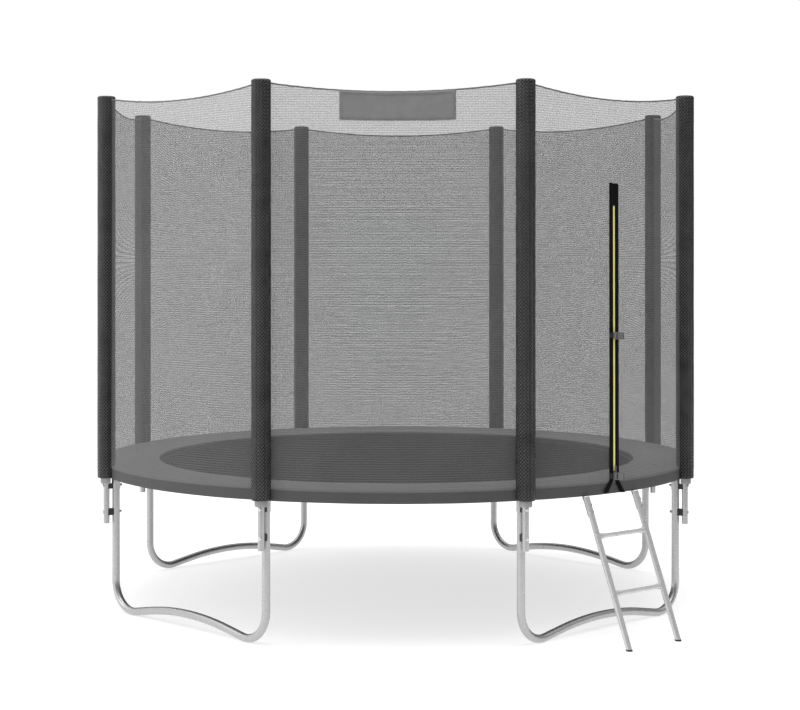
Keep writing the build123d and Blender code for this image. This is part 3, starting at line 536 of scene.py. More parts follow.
MATERIALS = {
    "galvanised_tube": galvanised(),
    "ladder_tube": galvanised("ladder_tube", 0.45, 0.60, 0.68),
    "zinc_hardware": zinc_hardware(),
    "spring_steel": spring_steel(),
    "black_plastic": moulded_plastic("black_plastic", 0.012, 0.03, 0.45),
    "grey_foam": closed_cell_foam(),
    "black_pvc": embossed_pvc(),
    "grey_pvc": pad_pvc(),
    "mat_fabric": mat_cloth(),
    "webbing": webbing_cloth(),
    "net_mesh": net_mesh(),
    "grey_cloth": grey_cloth(),
    "zip_coil_yellow": coil_nylon(),
    # lacquered metal, as even as a moulding
    "slider_metal": moulded_plastic("slider_metal", 0.09, 0.16, 0.3),
    "buckle_plastic": moulded_plastic("buckle_plastic", 0.13, 0.20, 0.3),
    "elastic": webbing_cloth("elastic", 0.015, 0.03, 0.0015),
    "thread": webbing_cloth("thread", 0.10, 0.16, 0.0008),
    "zip_tape": webbing_cloth("zip_tape", 0.002, 0.007, 0.0022, 0.06),
    "net_binding": webbing_cloth("net_binding", 0.11, 0.17, 0.0022),
}
LADDER_TUBES = ("ladder_stiles", "ladder_rungs")
for entry in frame["record"]["subparts"]:
    node = frame["nodes"][entry["node"]]
    node.data.materials.clear()
    look = "ladder_tube" if entry["node"] in LADDER_TUBES else entry["material_slot"]
    node.data.materials.append(MATERIALS[look])


# ---------------------------- safety net
# Two back panels have wider columns: seen through panels of equal pitch they would show a false pattern.
NET_OPEN_PANELS = (3, 5)
NET_OPENING = 1.8
NET_EDGE = 0.932  # share of a panel's half width that the net fills before a sleeve
HALF_CHORD = POLE_RING_R * sin(HALF)


def hem_height(share):
    """Top of the net, for a share of -1 to 1 of the way from pole to pole."""
    return HEM_MID_Z + (HEM_POLE_Z - HEM_MID_Z) * share * share


def net_point(panel, share, z, out=0.0):
    """A point on a net panel: share runs -1 to 1 across it, and out moves it off the surface."""
    azimuth = panel * STEP
    facing = outward(azimuth)
    side = sideways(azimuth)
    low = outward(azimuth + share * HALF) * (NET_FOOT_R + out)
    high = facing * (NET_LOFT_DISTANCE + out) + side * share * NET_LOFT_DISTANCE * tan(HALF)
    rise = (z - NET_FOOT) / (NET_LOFT_Z - NET_FOOT)
    point = low.lerp(high, rise)
    return Vector((point.x, point.y, z))


NET_START = PAD_TOP - 0.010  # the mesh ends at the pad's outer corner, above the skirt
DOOR_PANEL = 1
DOOR_ZIP_SHARE = -3.5 / 22.5  # where the zip starts at the foot; it ends in the panel's middle


def net_slack(panel, share, rise):
    """How far the cloth moves in and out: slow upright folds that die out at every edge."""
    hold = sin(pi * rise) * (1 - abs(share) ** 3)
    wave = noise.noise(Vector((share * 2.4, rise * 1.1, panel * 3.7)))
    ripple = noise.noise(Vector((share * 7.0, rise * 0.9, panel * 5.1 + 20)))
    slack = hold * (-0.006 + 0.0045 * wave + 0.0015 * ripple)
    if panel == DOOR_PANEL:
        # the stiff zip holds the cloth flat beside it
        from_zip = abs(share - DOOR_ZIP_SHARE * (1 - rise)) * HALF_CHORD
        slack *= min(1.0, max(0.0, from_zip - 0.035) / 0.12)
    return slack


def make_net():
    """Eight mesh panels in one piece, from pole to pole and from the pad's corner to the hem."""
    builder = Builder()
    columns, rows = 37, 49
    for panel in range(SIDES):

        def place(i, j):
            share = (2 * i / (columns - 1) - 1) * NET_EDGE
            rise = j / (rows - 1)
            z = NET_START + rise * (hem_height(share) - NET_START)
            return net_point(panel, share, z, net_slack(panel, share, rise))

        def uv(i, j):
            share = (2 * i / (columns - 1) - 1) * NET_EDGE
            across = (panel * 2 + 1 + share) * HALF_CHORD
            return (across / (NET_OPENING if panel in NET_OPEN_PANELS else 1.0), place(i, j).z)

        builder.grid(place, columns, rows, uv=uv, flip=True)
    return finish_piece(builder.piece("safety_net_cloth"), "frame", "net_mesh", ["safety_net"])


HEM_WIDTH = 0.007
HEM_THICKNESS = 0.0016


def make_hem():
    """Folded binding along the top of the net, pulled into small scallops by its stitches."""
    builder = Builder()
    columns = 160
    # (share of the width, share of the thickness) round the binding
    profile = [(-0.5, 0.0), (-0.45, 0.5), (0.0, 0.62), (0.45, 0.5), (0.5, 0.0), (0.45, -0.5), (-0.45, -0.5)]
    for panel in range(SIDES):

        def place(i, j):
            share = (2 * j / (columns - 1) - 1) * NET_EDGE
            along, out = profile[i]
            scallop = 0.0005 * sin(j * pi / 4) + 0.0008 * noise.noise(Vector((j * 0.21, panel * 4.3, 0)))
            z = hem_height(share) - HEM_WIDTH / 2 + along * HEM_WIDTH + scallop
            return net_point(panel, share, z, out * HEM_THICKNESS * 1.6)

        def uv(i, j):
            return (i * 0.002, (2 * j / (columns - 1) - 1) * HALF_CHORD)

        builder.bar(place, len(profile), columns, uv=uv)
    finish_piece(builder.piece("net_hem_binding"), "frame", "webbing", ["net_hem"], look="net_binding")


PANEL_LOW, PANEL_HIGH = (Vector(corner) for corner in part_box("header_panel"))
PANEL_HALF = (PANEL_HIGH.x - PANEL_LOW.x) / 2
PANEL_MIDDLE = (PANEL_HIGH.x + PANEL_LOW.x) / 2
PANEL_THICKNESS = 0.0012
PANEL_STANDOFF = 0.0022  # of the panel's back from the net
PANEL_DROP = 0.55 * HEM_WIDTH  # of the panel's top below the net's top
PANEL_DIP = 0.005  # of its lower edge, which hangs lowest in the middle


def make_header_panel():
    """Plain cloth panel with a turned and double-stitched border, lying on the front of the net."""
    builder = Builder()
    columns, rows = 61, 17

    def face(i, j, out):
        share = ((2 * i / (columns - 1) - 1) * PANEL_HALF + PANEL_MIDDLE) / HALF_CHORD
        high = hem_height(share) - PANEL_DROP
        low = PANEL_LOW.z + PANEL_DIP * (2 * i / (columns - 1) - 1) ** 2
        z = low + (high - low) * j / (rows - 1)
        edge = min(i, columns - 1 - i, j, rows - 1 - j)
        hemmed = 0.0006 if edge < 2 else 0.0
        ripple = 0.0012 * noise.noise(Vector((i * 0.22, j * 0.35, 7.0)))
        return net_point(0, share, z, PANEL_STANDOFF + ripple + out + hemmed * (1 if out > 0 else 0))

    def uv(i, j):
        return (i / (columns - 1) * 2 * PANEL_HALF, j * 0.008)

    front = builder.grid(lambda i, j: face(i, j, PANEL_THICKNESS), columns, rows, uv=uv, flip=True)
    back = builder.grid(lambda i, j: face(i, j, 0.0), columns, rows, uv=uv)
    rim = list(range(columns))
    rim += [j * columns + columns - 1 for j in range(1, rows)]
    rim += [(rows - 1) * columns + i for i in range(columns - 2, -1, -1)]
    rim += [j * columns for j in range(rows - 2, 0, -1)]
    for a, b in zip(rim, rim[1:] + rim[:1]):
        builder.faces.append((front + a, front + b, back + b, back + a))
    return finish_piece(builder.piece("header_panel_cloth"), "frame", "grey_cloth", ["header_panel"])


def make_panel_stitches():
    """Two rows of thread round the panel's border."""
    builder = Builder()
    inset_rows = (0.006, 0.012)
    pitch = 0.006
    low, high = PANEL_LOW.z, hem_height(0) - PANEL_DROP - 0.004

    def on_panel(x, z):
        return net_point(0, (x + PANEL_MIDDLE) / HALF_CHORD, z, PANEL_STANDOFF + PANEL_THICKNESS + 0.0009)

    def stitch(x0, z0, x1, z1):
        builder.tube([on_panel(x0, z0), on_panel(x1, z1)], 0.0004, sides=4)

    for inset in inset_rows:
        for z in (low + inset, high - inset):
            for k in range(int(2 * (PANEL_HALF - inset) / pitch)):
                x = -PANEL_HALF + inset + k * pitch
                if z < (low + high) / 2:
                    rise = PANEL_DIP * (x / PANEL_HALF) ** 2
                else:
                    rise = hem_height((x + PANEL_MIDDLE) / HALF_CHORD) - HEM_MID_Z
                stitch(x, z + rise, x + pitch * 0.7, z + rise)
        for x in (-PANEL_HALF + inset, PANEL_HALF - inset):
            for k in range(int((high - low - 2 * inset) / pitch)):
                z = low + inset + k * pitch
                stitch(x, z, x, z + pitch * 0.7)
    finish_piece(builder.piece("header_panel_stitches"), "frame", "grey_cloth", look="thread")


# ---------------------------- pole sleeves and foam
sleeve_azimuths = []
for number in range(1, SIDES + 1):
    centre = middle(f"pole_sleeve_{number}")
    sleeve_azimuths.append(atan2(centre.x, -centre.y))


def flattened(x, z):
    """Presses a point in against the flat that the pad's skirt gives the sleeve near its foot."""
    press = 1 - min(1, max(0, (z - SLEEVE_FLAT_TOP + 0.06) / 0.07))
    limit = POLE_RING_R - SLEEVE_R + (SLEEVE_FLAT_R - POLE_RING_R + SLEEVE_R) * press
    return max(x, limit)


def make_sleeve(index):
    """A PVC sleeve drawn over foam: closed dark top, slight creases, hemmed foot."""
    azimuth = sleeve_azimuths[index]
    turn = Matrix.Rotation(azimuth - pi / 2, 4, "Z")
    builder = Builder()
    columns = 72
    body_rows = 150
    side_foot = SLEEVE_FOOT + 0.006
    side_height = SLEEVE_TOP - SLEEVE_FOOT - 0.021
    edge = 0.012  # radius of the fold at the top
    # (radius, z) from inside the foot, round the hem, up the side and over the top
    profile = [(SLEEVE_R - 0.010, SLEEVE_FOOT + 0.030), (SLEEVE_R - 0.008, SLEEVE_FOOT + 0.004)]
    profile += [(SLEEVE_R - 0.005, SLEEVE_FOOT), (SLEEVE_R - 0.002, SLEEVE_FOOT + 0.001)]
    profile += [(SLEEVE_R - 0.0006, side_foot + side_height * k / body_rows) for k in range(body_rows + 1)]
    for k in range(1, 6):
        angle = k * pi / 10
        profile.append((SLEEVE_R - edge * (1 - cos(angle)), SLEEVE_TOP - edge + (edge - 0.001) * sin(angle)))
    profile += [(SLEEVE_R * 0.6, SLEEVE_TOP - 0.0004), (SLEEVE_R * 0.25, SLEEVE_TOP - 0.0008)]

    def place(i, j):
        radius, z = profile[j]
        angle = 2 * pi * i / columns
        if 4 <= j < 4 + body_rows:
            crease = noise_round(angle, 1.6, z * 5.0 + index * 9.1)
            pucker = noise_round(angle, 4.0, z * 16.0 + index * 3.3)
            radius -= 0.0011 * abs(crease) + 0.0005 * abs(pucker)
            # drawn in at the seams near both ends
            for ring in (SLEEVE_FOOT + 0.022, SLEEVE_TOP - 0.020):
                radius -= 0.0008 * max(0.0, 1 - abs(z - ring) / 0.006)
        x = flattened(POLE_RING_R + radius * cos(angle), z)
        return turn @ Vector((x, radius * sin(angle), z))

    def uv(i, j):
        return (i / columns * 2 * pi * SLEEVE_R, profile[j][1])

    base = builder.grid(place, columns, len(profile), wrap_columns=True, uv=uv)
    builder.cap(base + (len(profile) - 1) * columns, columns)
    sleeve = builder.piece(f"sleeve_cover_{index + 1}")
    finish_piece(sleeve, "frame", "black_pvc", [f"pole_sleeve_{index + 1}"])


def make_foam():
    """Foam tubes; only their lower ends show under the sleeves."""
    builder = Builder()
    columns = 40
    levels = [0.0, 0.002, 0.006, 0.02, 0.06, 0.3, 0.9, 1.5, 1.885]
    for azimuth in sleeve_azimuths:
        turn = Matrix.Rotation(azimuth - pi / 2, 4, "Z")

        def place(i, j):
            angle = 2 * pi * i / columns
            if j == 0:
                radius, z = POLE_TUBE_R + 0.0006, FOAM_FOOT + 0.004
            else:
                rounding = (0.004, 0.0012, 0.0, 0.0)[min(j - 1, 3)]
                radius, z = FOAM_R - 0.0004 - rounding, FOAM_FOOT + levels[j - 1]
            z = min(z, FOAM_TOP)
            radius += 0.0006 * noise.noise(Vector((angle, z * 40, azimuth)))
            x = POLE_RING_R + radius * cos(angle)
            if z < SLEEVE_FLAT_TOP:
                x = max(x, SLEEVE_FLAT_R)
            return turn @ Vector((x, radius * sin(angle), z))

        base = builder.grid(place, columns, len(levels), wrap_columns=True)
        builder.cap(base + (len(levels) - 1) * columns, columns)
    foam = finish_piece(builder.piece("pole_foam_tubes"), "frame", "grey_foam", ["pole_foam"])


# ---------------------------- safety pad
PAD_UNDER = 0.704  # its underside over the springs
PAD_UNDER_RAIL = 0.7105  # and over the top rails
# (radius, z) from the rails inwards, over the springs
PAD_UNDERSIDE = ((1.475, PAD_UNDER_RAIL), (1.44, PAD_UNDER), (1.34, PAD_UNDER), (1.31, PAD_UNDER - 0.001))
PAD_LIP = top_of("mat_webbing") + 0.0012
SKIRT_THICKNESS = 0.0032
PAD_CORNER = 0.010  # radius of the fold from the top into the skirt


def pad_outline():
    """Section of the pad as (radius, z), closed, starting inside at the bottom."""
    inner_top = PAD_TOP - 0.007
    outline = [(PAD_INNER_R + 0.002, PAD_LIP), (PAD_INNER_R, PAD_LIP + 0.003)]
    outline += [(PAD_INNER_R - 0.0005, PAD_UNDER + 0.006), (PAD_INNER_R, inner_top - 0.005)]
    outline += [(PAD_INNER_R + 0.003, inner_top - 0.001)]
    steps = 26
    for k in range(1, steps):
        share = k / steps
        radius = PAD_INNER_R + 0.003 + (PAD_CORNER_R - PAD_INNER_R - 0.003) * share
        crown = 0.0022 * sin(pi * share) ** 0.7
        outline.append((radius, inner_top - 0.001 + (PAD_TOP - inner_top) * share + crown - 0.0012))
    outline += [(PAD_CORNER_R + 0.008, PAD_TOP - 0.0016)]
    corner_start = PAD_R - PAD_CORNER
    for k in range(7):
        angle = k / 6 * pi / 2
        drop = PAD_CORNER * (1 - cos(angle))
        outline.append((corner_start + PAD_CORNER * sin(angle), PAD_TOP - 0.004 - drop))
    skirt_steps = 8
    skirt_top = PAD_TOP - 0.004 - PAD_CORNER
    for k in range(1, skirt_steps + 1):
        outline.append((PAD_R, skirt_top + (PAD_FOOT - skirt_top) * k / skirt_steps))
    inside = PAD_R - SKIRT_THICKNESS
    outline += [(inside, PAD_FOOT), (inside, PAD_FOOT + 0.01), (inside, skirt_top - 0.005)]
    outline += [(inside - 0.001, PAD_UNDER_RAIL - 0.006), (inside - 0.008, PAD_UNDER_RAIL)]
    outline += [*PAD_UNDERSIDE, (PAD_INNER_R + 0.035, PAD_LIP + 0.001)]
    return outline


def make_pad():
    """Foam ring in a PVC cover: eight sewn lengths, crowned between their seams, with a hanging skirt."""
    builder = Builder()
    outline = pad_outline()
    columns = 720
    rows = len(outline)

    def place(i, j):
        radius, z = outline[j]
        angle = 2 * pi * i / columns
        seam_distance = abs((angle / STEP) % 1 - 0.5) * STEP * PAD_CORNER_R
        on_top = z > PAD_UNDER_RAIL + 0.002 and radius < PAD_R - 0.002
        if on_top:
            wave = noise_round(angle, 5, radius * 6)
            pucker = noise_round(angle, 30, radius * 24)
            z += 0.0009 * wave + 0.0003 * pucker
            z -= 0.0016 * max(0.0, 1 - seam_distance / 0.010)
        elif radius > PAD_R - 0.006 and z < PAD_TOP - 0.02:
            sway = noise_round(angle, 11, z * 4)
            radius += 0.0006 * sway
            if z < PAD_FOOT + 0.002:
                z += 0.0008 * noise_round(angle, 8, 3.0)
        return ring_point(angle, radius, z)

    def uv(i, j):
        return (i / columns * 2 * pi * PAD_CORNER_R, j * 0.01)

    builder.grid(place, columns, rows, wrap_columns=True, wrap_rows=True, uv=uv)
    pad = finish_piece(builder.piece("safety_pad_cover"), "frame", "grey_pvc", ["safety_pad"])


def make_pad_trim():
    """The row of stitches along the skirt's hem."""
    builder = Builder()
    count = 720
    step = 2 * pi / count
    hem_z = PAD_FOOT + 0.008
    for k in range(count):
        angle = 2 * pi * k / count
        ends = [ring_point(place, PAD_R + 0.0002, hem_z) for place in (angle, angle + step * 0.62)]
        builder.tube(ends, 0.0005, sides=4)
    finish_piece(builder.piece("safety_pad_stitches"), "frame", "grey_pvc", look="thread")


TIE_COUNT = 16
TIE_R = 0.0212  # of a loop round the top rail
TIE_WIDTH = 0.010
TIE_SECTION = ((0.0196, -0.5), (0.0211, -0.5), (0.0211, 0.5), (0.0196, 0.5))  # (radius, share of the width)


def make_pad_ties():
    """Elastic loops that hold the pad to the top ring."""
    builder = Builder()
    low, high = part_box("pad_ties")
    ring_r = (high[0] - low[0]) / 2 - TIE_R
    ring_z = foot_of("pad_ties") + TIE_R
    steps = 20
    for k in range(TIE_COUNT):
        azimuth = (k + 0.5) * STEP / 2
        facing = outward(azimuth)
        side = sideways(azimuth)
        centre = ring_point(azimuth, ring_r, ring_z)

        def place(i, j):
            angle = 2 * pi * j / steps
            radius, across = TIE_SECTION[i]
            gather = 1 - 0.25 * max(0.0, sin(angle))
            round_rail = centre + facing * cos(angle) * radius + Vector((0, 0, sin(angle) * radius))
            return round_rail + side * across * TIE_WIDTH * gather

        def uv(i, j):
            return (i * 0.004, j * 0.006)

        builder.grid(place, len(TIE_SECTION), steps, wrap_columns=True, wrap_rows=True, uv=uv)
        # the end sewn up to the pad
        top = centre + Vector((0, 0, 0.0225))
        builder.box(top, (facing, side, UP), (0.010, 0.009, 0.0045), 0.0006)
    finish_piece(builder.piece("pad_tie_loops"), "frame", "elastic", ["pad_ties"])


# ---------------------------- mat, webbing and springs
def make_mat():
    """Woven mat: an upper and a lower face, joined at the edge, with a slight unevenness above."""
    builder = Builder()
    columns = 256
    radii = [0.0, 0.05] + [0.05 + (MAT_R - 0.055) * k / 24 for k in range(1, 25)]

    def surface(level, flip):
        def place(i, j):
            angle = 2 * pi * i / columns
            radius = radii[j]
            tension = 0.0004 * noise.noise(Vector((cos(angle) * radius * 3, sin(angle) * radius * 3, 1.0)))
            return ring_point(angle, radius, level + (tension if level > MAT_FOOT + 0.002 else 0))

        def uv(i, j):
            return (radii[j], i * 0.01)

        return builder.grid(place, columns, len(radii), wrap_columns=True, uv=uv, flip=flip)

    upper = surface(MAT_TOP - 0.0006, False)
    lower = surface(MAT_FOOT + 0.0004, True)
    last = (len(radii) - 1) * columns
    above, below = upper + last, lower + last
    for i in range(columns):
        following = (i + 1) % columns
        builder.faces.append((below + i, below + following, above + following, above + i))
    return finish_piece(builder.piece("jumping_mat_cloth"), "mat", "mat_fabric", ["jumping_mat"])


def make_mat_webbing():
    """Edge webbing of the mat, with a loop over each V-ring."""
    builder = Builder()
    columns = 512
    low = foot_of("mat_webbing")
    high = top_of("mat_webbing")
    inner = PAD_INNER_R - 0.012
    section = [(inner, low), (inner + 0.0004, high - 0.0008), (inner + 0.006, high - 0.0002)]
    section += [(inner + 0.016, high), (MAT_R - 0.004, high), (MAT_R, low + 0.0004)]

    def place(i, j):
        return ring_point(2 * pi * i / columns, *section[j])

    def uv(i, j):
        return (section[j][0], i * 0.0156)

    builder.grid(place, columns, len(section), wrap_columns=True, wrap_rows=True, uv=uv)
    for k in range(SPRING_COUNT):
        azimuth = spring_azimuth(k)
        centre = ring_point(azimuth, MAT_R - 0.001, (low + high) / 2 + 0.0002)
        builder.box(centre, (outward(azimuth), sideways(azimuth), UP), (0.0135, 0.0215, high - low), 0.0005)
    finish_piece(builder.piece("mat_edge_webbing"), "mat", "webbing", ["mat_webbing"])


def spring_azimuth(k):
    return (k + 0.5) * 2 * pi / SPRING_COUNT


SPRING_START = 1.337  # radii at which the coil begins and ends
SPRING_END = 1.460
SPRING_R = 0.0104
SPRING_WIRE = 0.0016  # radius
SPRING_TURNS = 24
SPRING_Z = 0.688
HOOK_R = 1.309  # radius and height of the hook in the V-ring
HOOK_Z = 0.693
RAIL_HOOK_R = 1.489  # radius of the hook's end in the top rail
# the spring's outer end stays with the frame and its inner end goes with the mat, from these radii on
STRETCH_START = RAIL_HOOK_R - 0.015
STRETCH_END = HOOK_R + 0.012


def spring_path():
    """A close-wound coil with a hook at each end, along +X in the spring's own upright plane."""
    ring_hook = [(HOOK_R, SPRING_Z - 0.0035), (HOOK_R, HOOK_Z - 0.003), (HOOK_R + 0.003, HOOK_Z)]
    ring_hook += [(SPRING_START - 0.006, HOOK_Z), (SPRING_START - 0.002, HOOK_Z + 0.002)]
    rail_hook = [(SPRING_END + 0.004, SPRING_Z + 0.002), (SPRING_END + 0.009, SPRING_Z)]
    rail_hook += [(RAIL_HOOK_R, SPRING_Z)]
    points = [Vector((x, 0, z)) for x, z in ring_hook]
    per_turn = 12
    for k in range(SPRING_TURNS * per_turn + 1):
        turn = 2 * pi * k / per_turn
        share = k / (SPRING_TURNS * per_turn)
        taper = min(1.0, 0.55 + 8 * share, 0.55 + 8 * (1 - share))
        x = SPRING_START + (SPRING_END - SPRING_START) * share
        points.append(Vector((x, sin(turn) * SPRING_R * taper, SPRING_Z + cos(turn) * SPRING_R * taper)))
    return points + [Vector((x, 0, z)) for x, z in rail_hook]


def make_springs():
    """Coil springs; each stretches between the ring and the mat as the mat sinks."""
    builder = Builder()
    path = spring_path()
    for k in range(SPRING_COUNT):
        turn = Matrix.Rotation(spring_azimuth(k) - pi / 2, 4, "Z")
        builder.tube([turn @ point for point in path], SPRING_WIRE, sides=5)
    springs = builder.piece("mat_springs")
    springs.data.materials.append(MATERIALS["spring_steel"])
    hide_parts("springs")
    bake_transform(springs, "frame", "mat", start=(0, 0, 1), end=(0, 0, 0))
    hang = springs.data.attributes["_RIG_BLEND"]
    for vertex in springs.data.vertices:
        radius = hypot(vertex.co.x, vertex.co.y)
        share = (STRETCH_START - radius) / (STRETCH_START - STRETCH_END)
        hang.data[vertex.index].value = min(1.0, max(0.0, share))


# ---------------------------- zip door
slide_axis = Vector(joints["zip_slide"]["axis"])
ZIP_SIDE = -Vector(joints["upper_buckle_release"]["axis"])
ZIP_OUT = ZIP_SIDE.cross(slide_axis).normalized()
ZIP_FOOT_AZIMUTH = radians(41.5)
ZIP_FOOT_Z = 0.665
ZIP_GAP = 0.0032  # from the net's inner face to the back of the tape
zip_origin = ring_point(ZIP_FOOT_AZIMUTH, NET_FOOT_R - NET_HALF + ZIP_GAP, ZIP_FOOT_Z)
ZIP_RISE = 1 / slide_axis.z
ZIP_AXES = (ZIP_SIDE, slide_axis, ZIP_OUT)


def on_zip(x, height, level):
    """A point on the door: x to the right, height above the ground, level out from the tape's back."""
    return zip_origin + ZIP_SIDE * x + slide_axis * (height - ZIP_FOOT_Z) * ZIP_RISE + ZIP_OUT * level


TAPE_HALF = 0.033  # from the middle of the zip to the tape's outer edge
TAPE_GAP = 0.0063  # and to its inner edge
TAPE_TOP_Z = 2.103
SPLIT_Z = 0.722  # the tapes part below this height
SPLIT_OUTER = 0.078  # and end here, at their outer and inner edges
SPLIT_INNER = 0.044
COIL_LOW = 0.750
COIL_HIGH = 1.995


def make_zip_tapes():
    """The two halves of the zip's tape, which part under the slider to the foot of the net."""
    builder = Builder()
    heights = [ZIP_FOOT_Z + 0.001 + (SPLIT_Z - ZIP_FOOT_Z - 0.001) * k / 10 for k in range(10)]
    heights += [SPLIT_Z + (TAPE_TOP_Z - SPLIT_Z) * k / 160 for k in range(161)]
    # (share of the width, level), with the raised edges and the ridge of the sewn seam
    profile = [(0.0, 0.0002), (0.0, 0.0012), (0.07, 0.0016), (0.36, 0.0013), (0.40, 0.0017), (0.46, 0.0017)]
    profile += [(0.50, 0.0013), (0.90, 0.0014), (0.95, 0.0016), (1.0, 0.0012), (1.0, 0.0002)]
    for side in (-1, 1):

        def place(i, j):
            share, level = profile[i]
            z = heights[j]
            part = max(0.0, (SPLIT_Z - z) / (SPLIT_Z - ZIP_FOOT_Z))
            inner = TAPE_GAP + (SPLIT_INNER - TAPE_GAP) * part
            outer = TAPE_HALF + (SPLIT_OUTER - TAPE_HALF) * part
            x = side * (inner + (outer - inner) * share)
            wave = 0.0003 * noise.noise(Vector((z * 22, side * 4.0, share)))
            return on_zip(x, z, level + wave)

        def uv(i, j):
            return (profile[i][0] * 0.027, heights[j])

        builder.bar(place, len(profile), len(heights), uv=uv, flip=side < 0)
    top = on_zip(0, (TAPE_TOP_Z + COIL_HIGH) / 2 + 0.001, 0.0009)
    builder.box(top, ZIP_AXES, (2 * TAPE_GAP + 0.002, TAPE_TOP_Z - COIL_HIGH - 0.003, 0.0012), 0.0003)
    finish_piece(builder.piece("zip_tape_cloth"), "frame", "webbing", ["zip_tapes"], look="zip_tape")


def make_zip_coil():
    """Interlocked coil of the zip: a tooth from each side in turn over a yellow core."""
    builder = Builder()
    pitch = 0.0052
    count = int((COIL_HIGH - COIL_LOW) / pitch)
    core = on_zip(0, (COIL_LOW + COIL_HIGH) / 2, 0.0009)
    builder.box(core, ZIP_AXES, (0.0116, COIL_HIGH - COIL_LOW - 0.001, 0.0014), 0.0004)
    for k in range(count):
        side = 1 if k % 2 else -1
        centre = on_zip(side * 0.0010, COIL_LOW + (k + 0.5) * pitch, 0.0018)
        builder.box(centre, ZIP_AXES, (0.0092, pitch * 0.8, 0.0014), 0.0005)
    finish_piece(builder.piece("zip_coil_teeth"), "frame", "zip_coil_yellow", ["zip_coil"])


STRAP_HALF = 0.0118
STRAP_THICKNESS = 0.0010
# (share of the length, level), from the seam on the tape up to the buckle's end
STRAP_RUN = ((0.0, 0.0026), (0.45, 0.0026), (0.55, 0.0032), (0.66, 0.0098), (0.72, 0.0112), (1.0, 0.0113))


def add_strap(builder, height, sewn, end):
    """Webbing at a buckle's height, from where it is sewn to the tape up to under the buckle's end."""

    def place(i, j):
        share, level = STRAP_RUN[j]
        across, thick = ((-1, 0), (1, 0), (1, 1), (-1, 1))[i]
        level += thick * STRAP_THICKNESS - 0.0003
        return on_zip(sewn + (end - sewn) * share, height + across * STRAP_HALF, level)

    def uv(i, j):
        return (i * 0.006, j * 0.004)

    builder.bar(place, 4, len(STRAP_RUN), uv=uv, flip=end >= sewn)


def make_buckle_straps():
    """Webbing of the two buckles: the sockets' on the right, and one on each plug."""
    heights = {place: middle(f"{place}_buckle_plug").z for place in ("upper", "lower")}
    builder = Builder()
    for height in heights.values():
        add_strap(builder, height, 0.0155, 0.0455)
    straps = builder.piece("socket_strap_webbing", smooth=False)
    finish_piece(straps, "frame", "webbing", ["buckle_socket_straps"])
    for place, height in heights.items():
        builder = Builder()
        add_strap(builder, height, -0.0315, -0.0095)
        strap = builder.piece(f"{place}_strap_webbing", smooth=False)
        finish_piece(strap, f"{place}_buckle", "webbing", [f"{place}_buckle_strap"])


# ---------------------------- making it all
net = make_net()
make_hem()
header = make_header_panel()
make_panel_stitches()
for index in range(SIDES):
    make_sleeve(index)
make_foam()
make_pad()
make_pad_trim()
make_pad_ties()
mat = make_mat()
make_mat_webbing()
make_springs()
make_zip_tapes()
make_zip_coil()
make_buckle_straps()

# ---------------------------- stage, light and camera
FLOOR_RINGS = (0.001, 1.5, 3.0, 4.5, 6.0)
FLOOR_SIDES = 64
FLOOR_GLOW = 0.70  # the floor is a lit table, so that shadows on it stay pale
# strength of the world as a light: everywhere, on the left, on the right and overhead
WORLD_BASE = 0.15
WORLD_LEFT = 0.86
WORLD_RIGHT = 0.34
WORLD_TOP = 1.0
# name, place, target, size and power
LIGHTS = (
    ("soft_left", (-8.0, -3.5, 3.6), (0, 0, 1.2), (3.0, 6.0), 80),
    ("soft_top", (0.0, -1.0, 8.0), (0, 0, 0.7), (9.0, 9.0), 480),
)
# the camera fitted to the photo
CAMERA_PLACE = (0.094, -9.438, 1.7415)
CAMERA_TURN = 0.008
CAMERA_LENS = 80.5
CAMERA_SENSOR = 36.0
CAMERA_SHIFT_Y = -0.1185


def make_floor():
    """Pale round floor, lit a little from within."""
    builder = Builder()

    def place(i, j):
        return ring_point(2 * pi * i / FLOOR_SIDES, FLOOR_RINGS[j], 0)

    builder.grid(place, FLOOR_SIDES, len(FLOOR_RINGS), wrap_columns=True)
    floor = builder.piece("studio_floor")
    glow = {"Emission_Color": WHITE, "Emission_Strength": FLOOR_GLOW}
    m = Nodes("studio_floor", Roughness=0.9, Specular_IOR_Level=0.0, **glow)
    m.to("Base Color", m.ramp(m.noise(m.place(), 0.6, 2.0), [(0.3, 0.46), (0.7, 0.50)]))
    floor.data.materials.append(m.material)


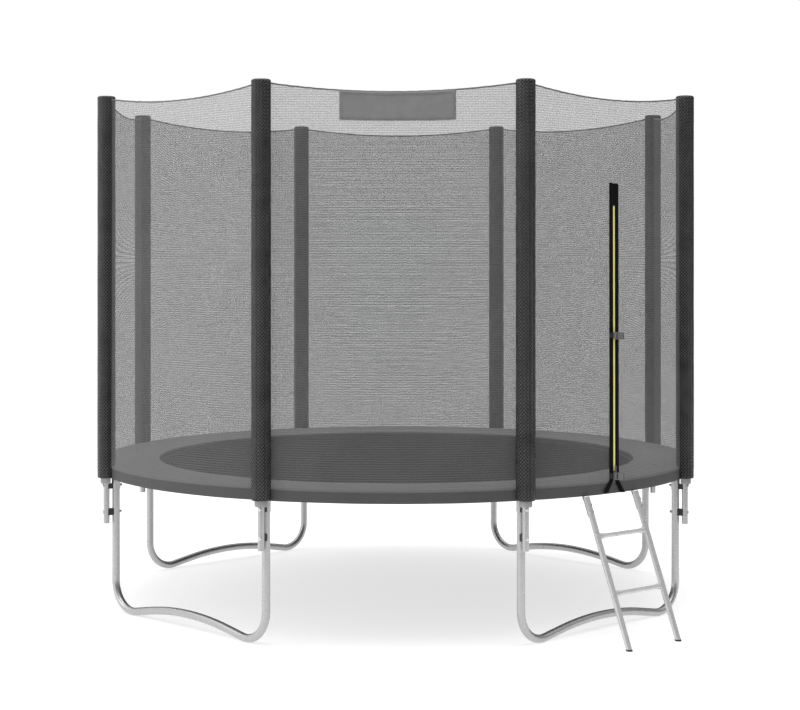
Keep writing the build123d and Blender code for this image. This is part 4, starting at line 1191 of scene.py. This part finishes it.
def make_light(name, place, target, size, power):
    """A soft rectangular light aimed at a point."""
    light = bpy.data.lights.new(name, "AREA")
    light.shape = "RECTANGLE"
    light.size, light.size_y = size
    light.energy = power
    lamp = bpy.data.objects.new(name, light)
    bpy.context.scene.collection.objects.link(lamp)
    lamp.location = place
    lamp.rotation_euler = (Vector(target) - Vector(place)).to_track_quat("-Z", "Y").to_euler()


def make_world():
    """White backdrop; as a light it is dim, but brighter on the left, on the far right and overhead."""
    world = bpy.data.worlds.new("studio")
    world.use_nodes = True
    tree = world.node_tree
    backdrop = tree.nodes["Background"]
    backdrop.inputs["Color"].default_value = WHITE

    def lobe(value, start, end, low, high):
        inputs = {"Value": value, "From Min": start, "From Max": end, "To Min": low, "To Max": high}
        return add_node(tree, "ShaderNodeMapRange", inputs, interpolation_type="SMOOTHSTEP").outputs["Result"]

    direction = add_node(tree, "ShaderNodeTexCoord").outputs["Generated"]
    x, _, z = add_node(tree, "ShaderNodeSeparateXYZ", {0: direction}).outputs
    left = lobe(x, -0.45, -0.62, 0.0, WORLD_LEFT)
    right = lobe(x, 0.86, 0.97, 0.0, WORLD_RIGHT)
    above = lobe(z, 0.35, 0.85, WORLD_BASE, WORLD_TOP)
    total = add_node(tree, "ShaderNodeMath", {0: left, 1: above}, operation="ADD").outputs[0]
    total = add_node(tree, "ShaderNodeMath", {0: total, 1: right}, operation="ADD").outputs[0]
    seen = add_node(tree, "ShaderNodeLightPath").outputs["Is Camera Ray"]
    strength = add_node(tree, "ShaderNodeMix", {0: seen, 2: total, 3: 1.0}).outputs[0]
    tree.links.new(strength, backdrop.inputs["Strength"])
    bpy.context.scene.world = world


def make_camera():
    """The photo's view."""
    data = bpy.data.cameras.new("photo_camera")
    data.lens = CAMERA_LENS
    data.sensor_width = CAMERA_SENSOR
    data.shift_y = CAMERA_SHIFT_Y
    camera = bpy.data.objects.new("photo_camera", data)
    bpy.context.scene.collection.objects.link(camera)
    camera.location = CAMERA_PLACE
    camera.rotation_euler = (pi / 2, 0, CAMERA_TURN)
    bpy.context.scene.camera = camera


make_floor()
make_world()
bpy.context.scene.view_settings.view_transform = "Standard"
for light in LIGHTS:
    make_light(*light)
make_camera()
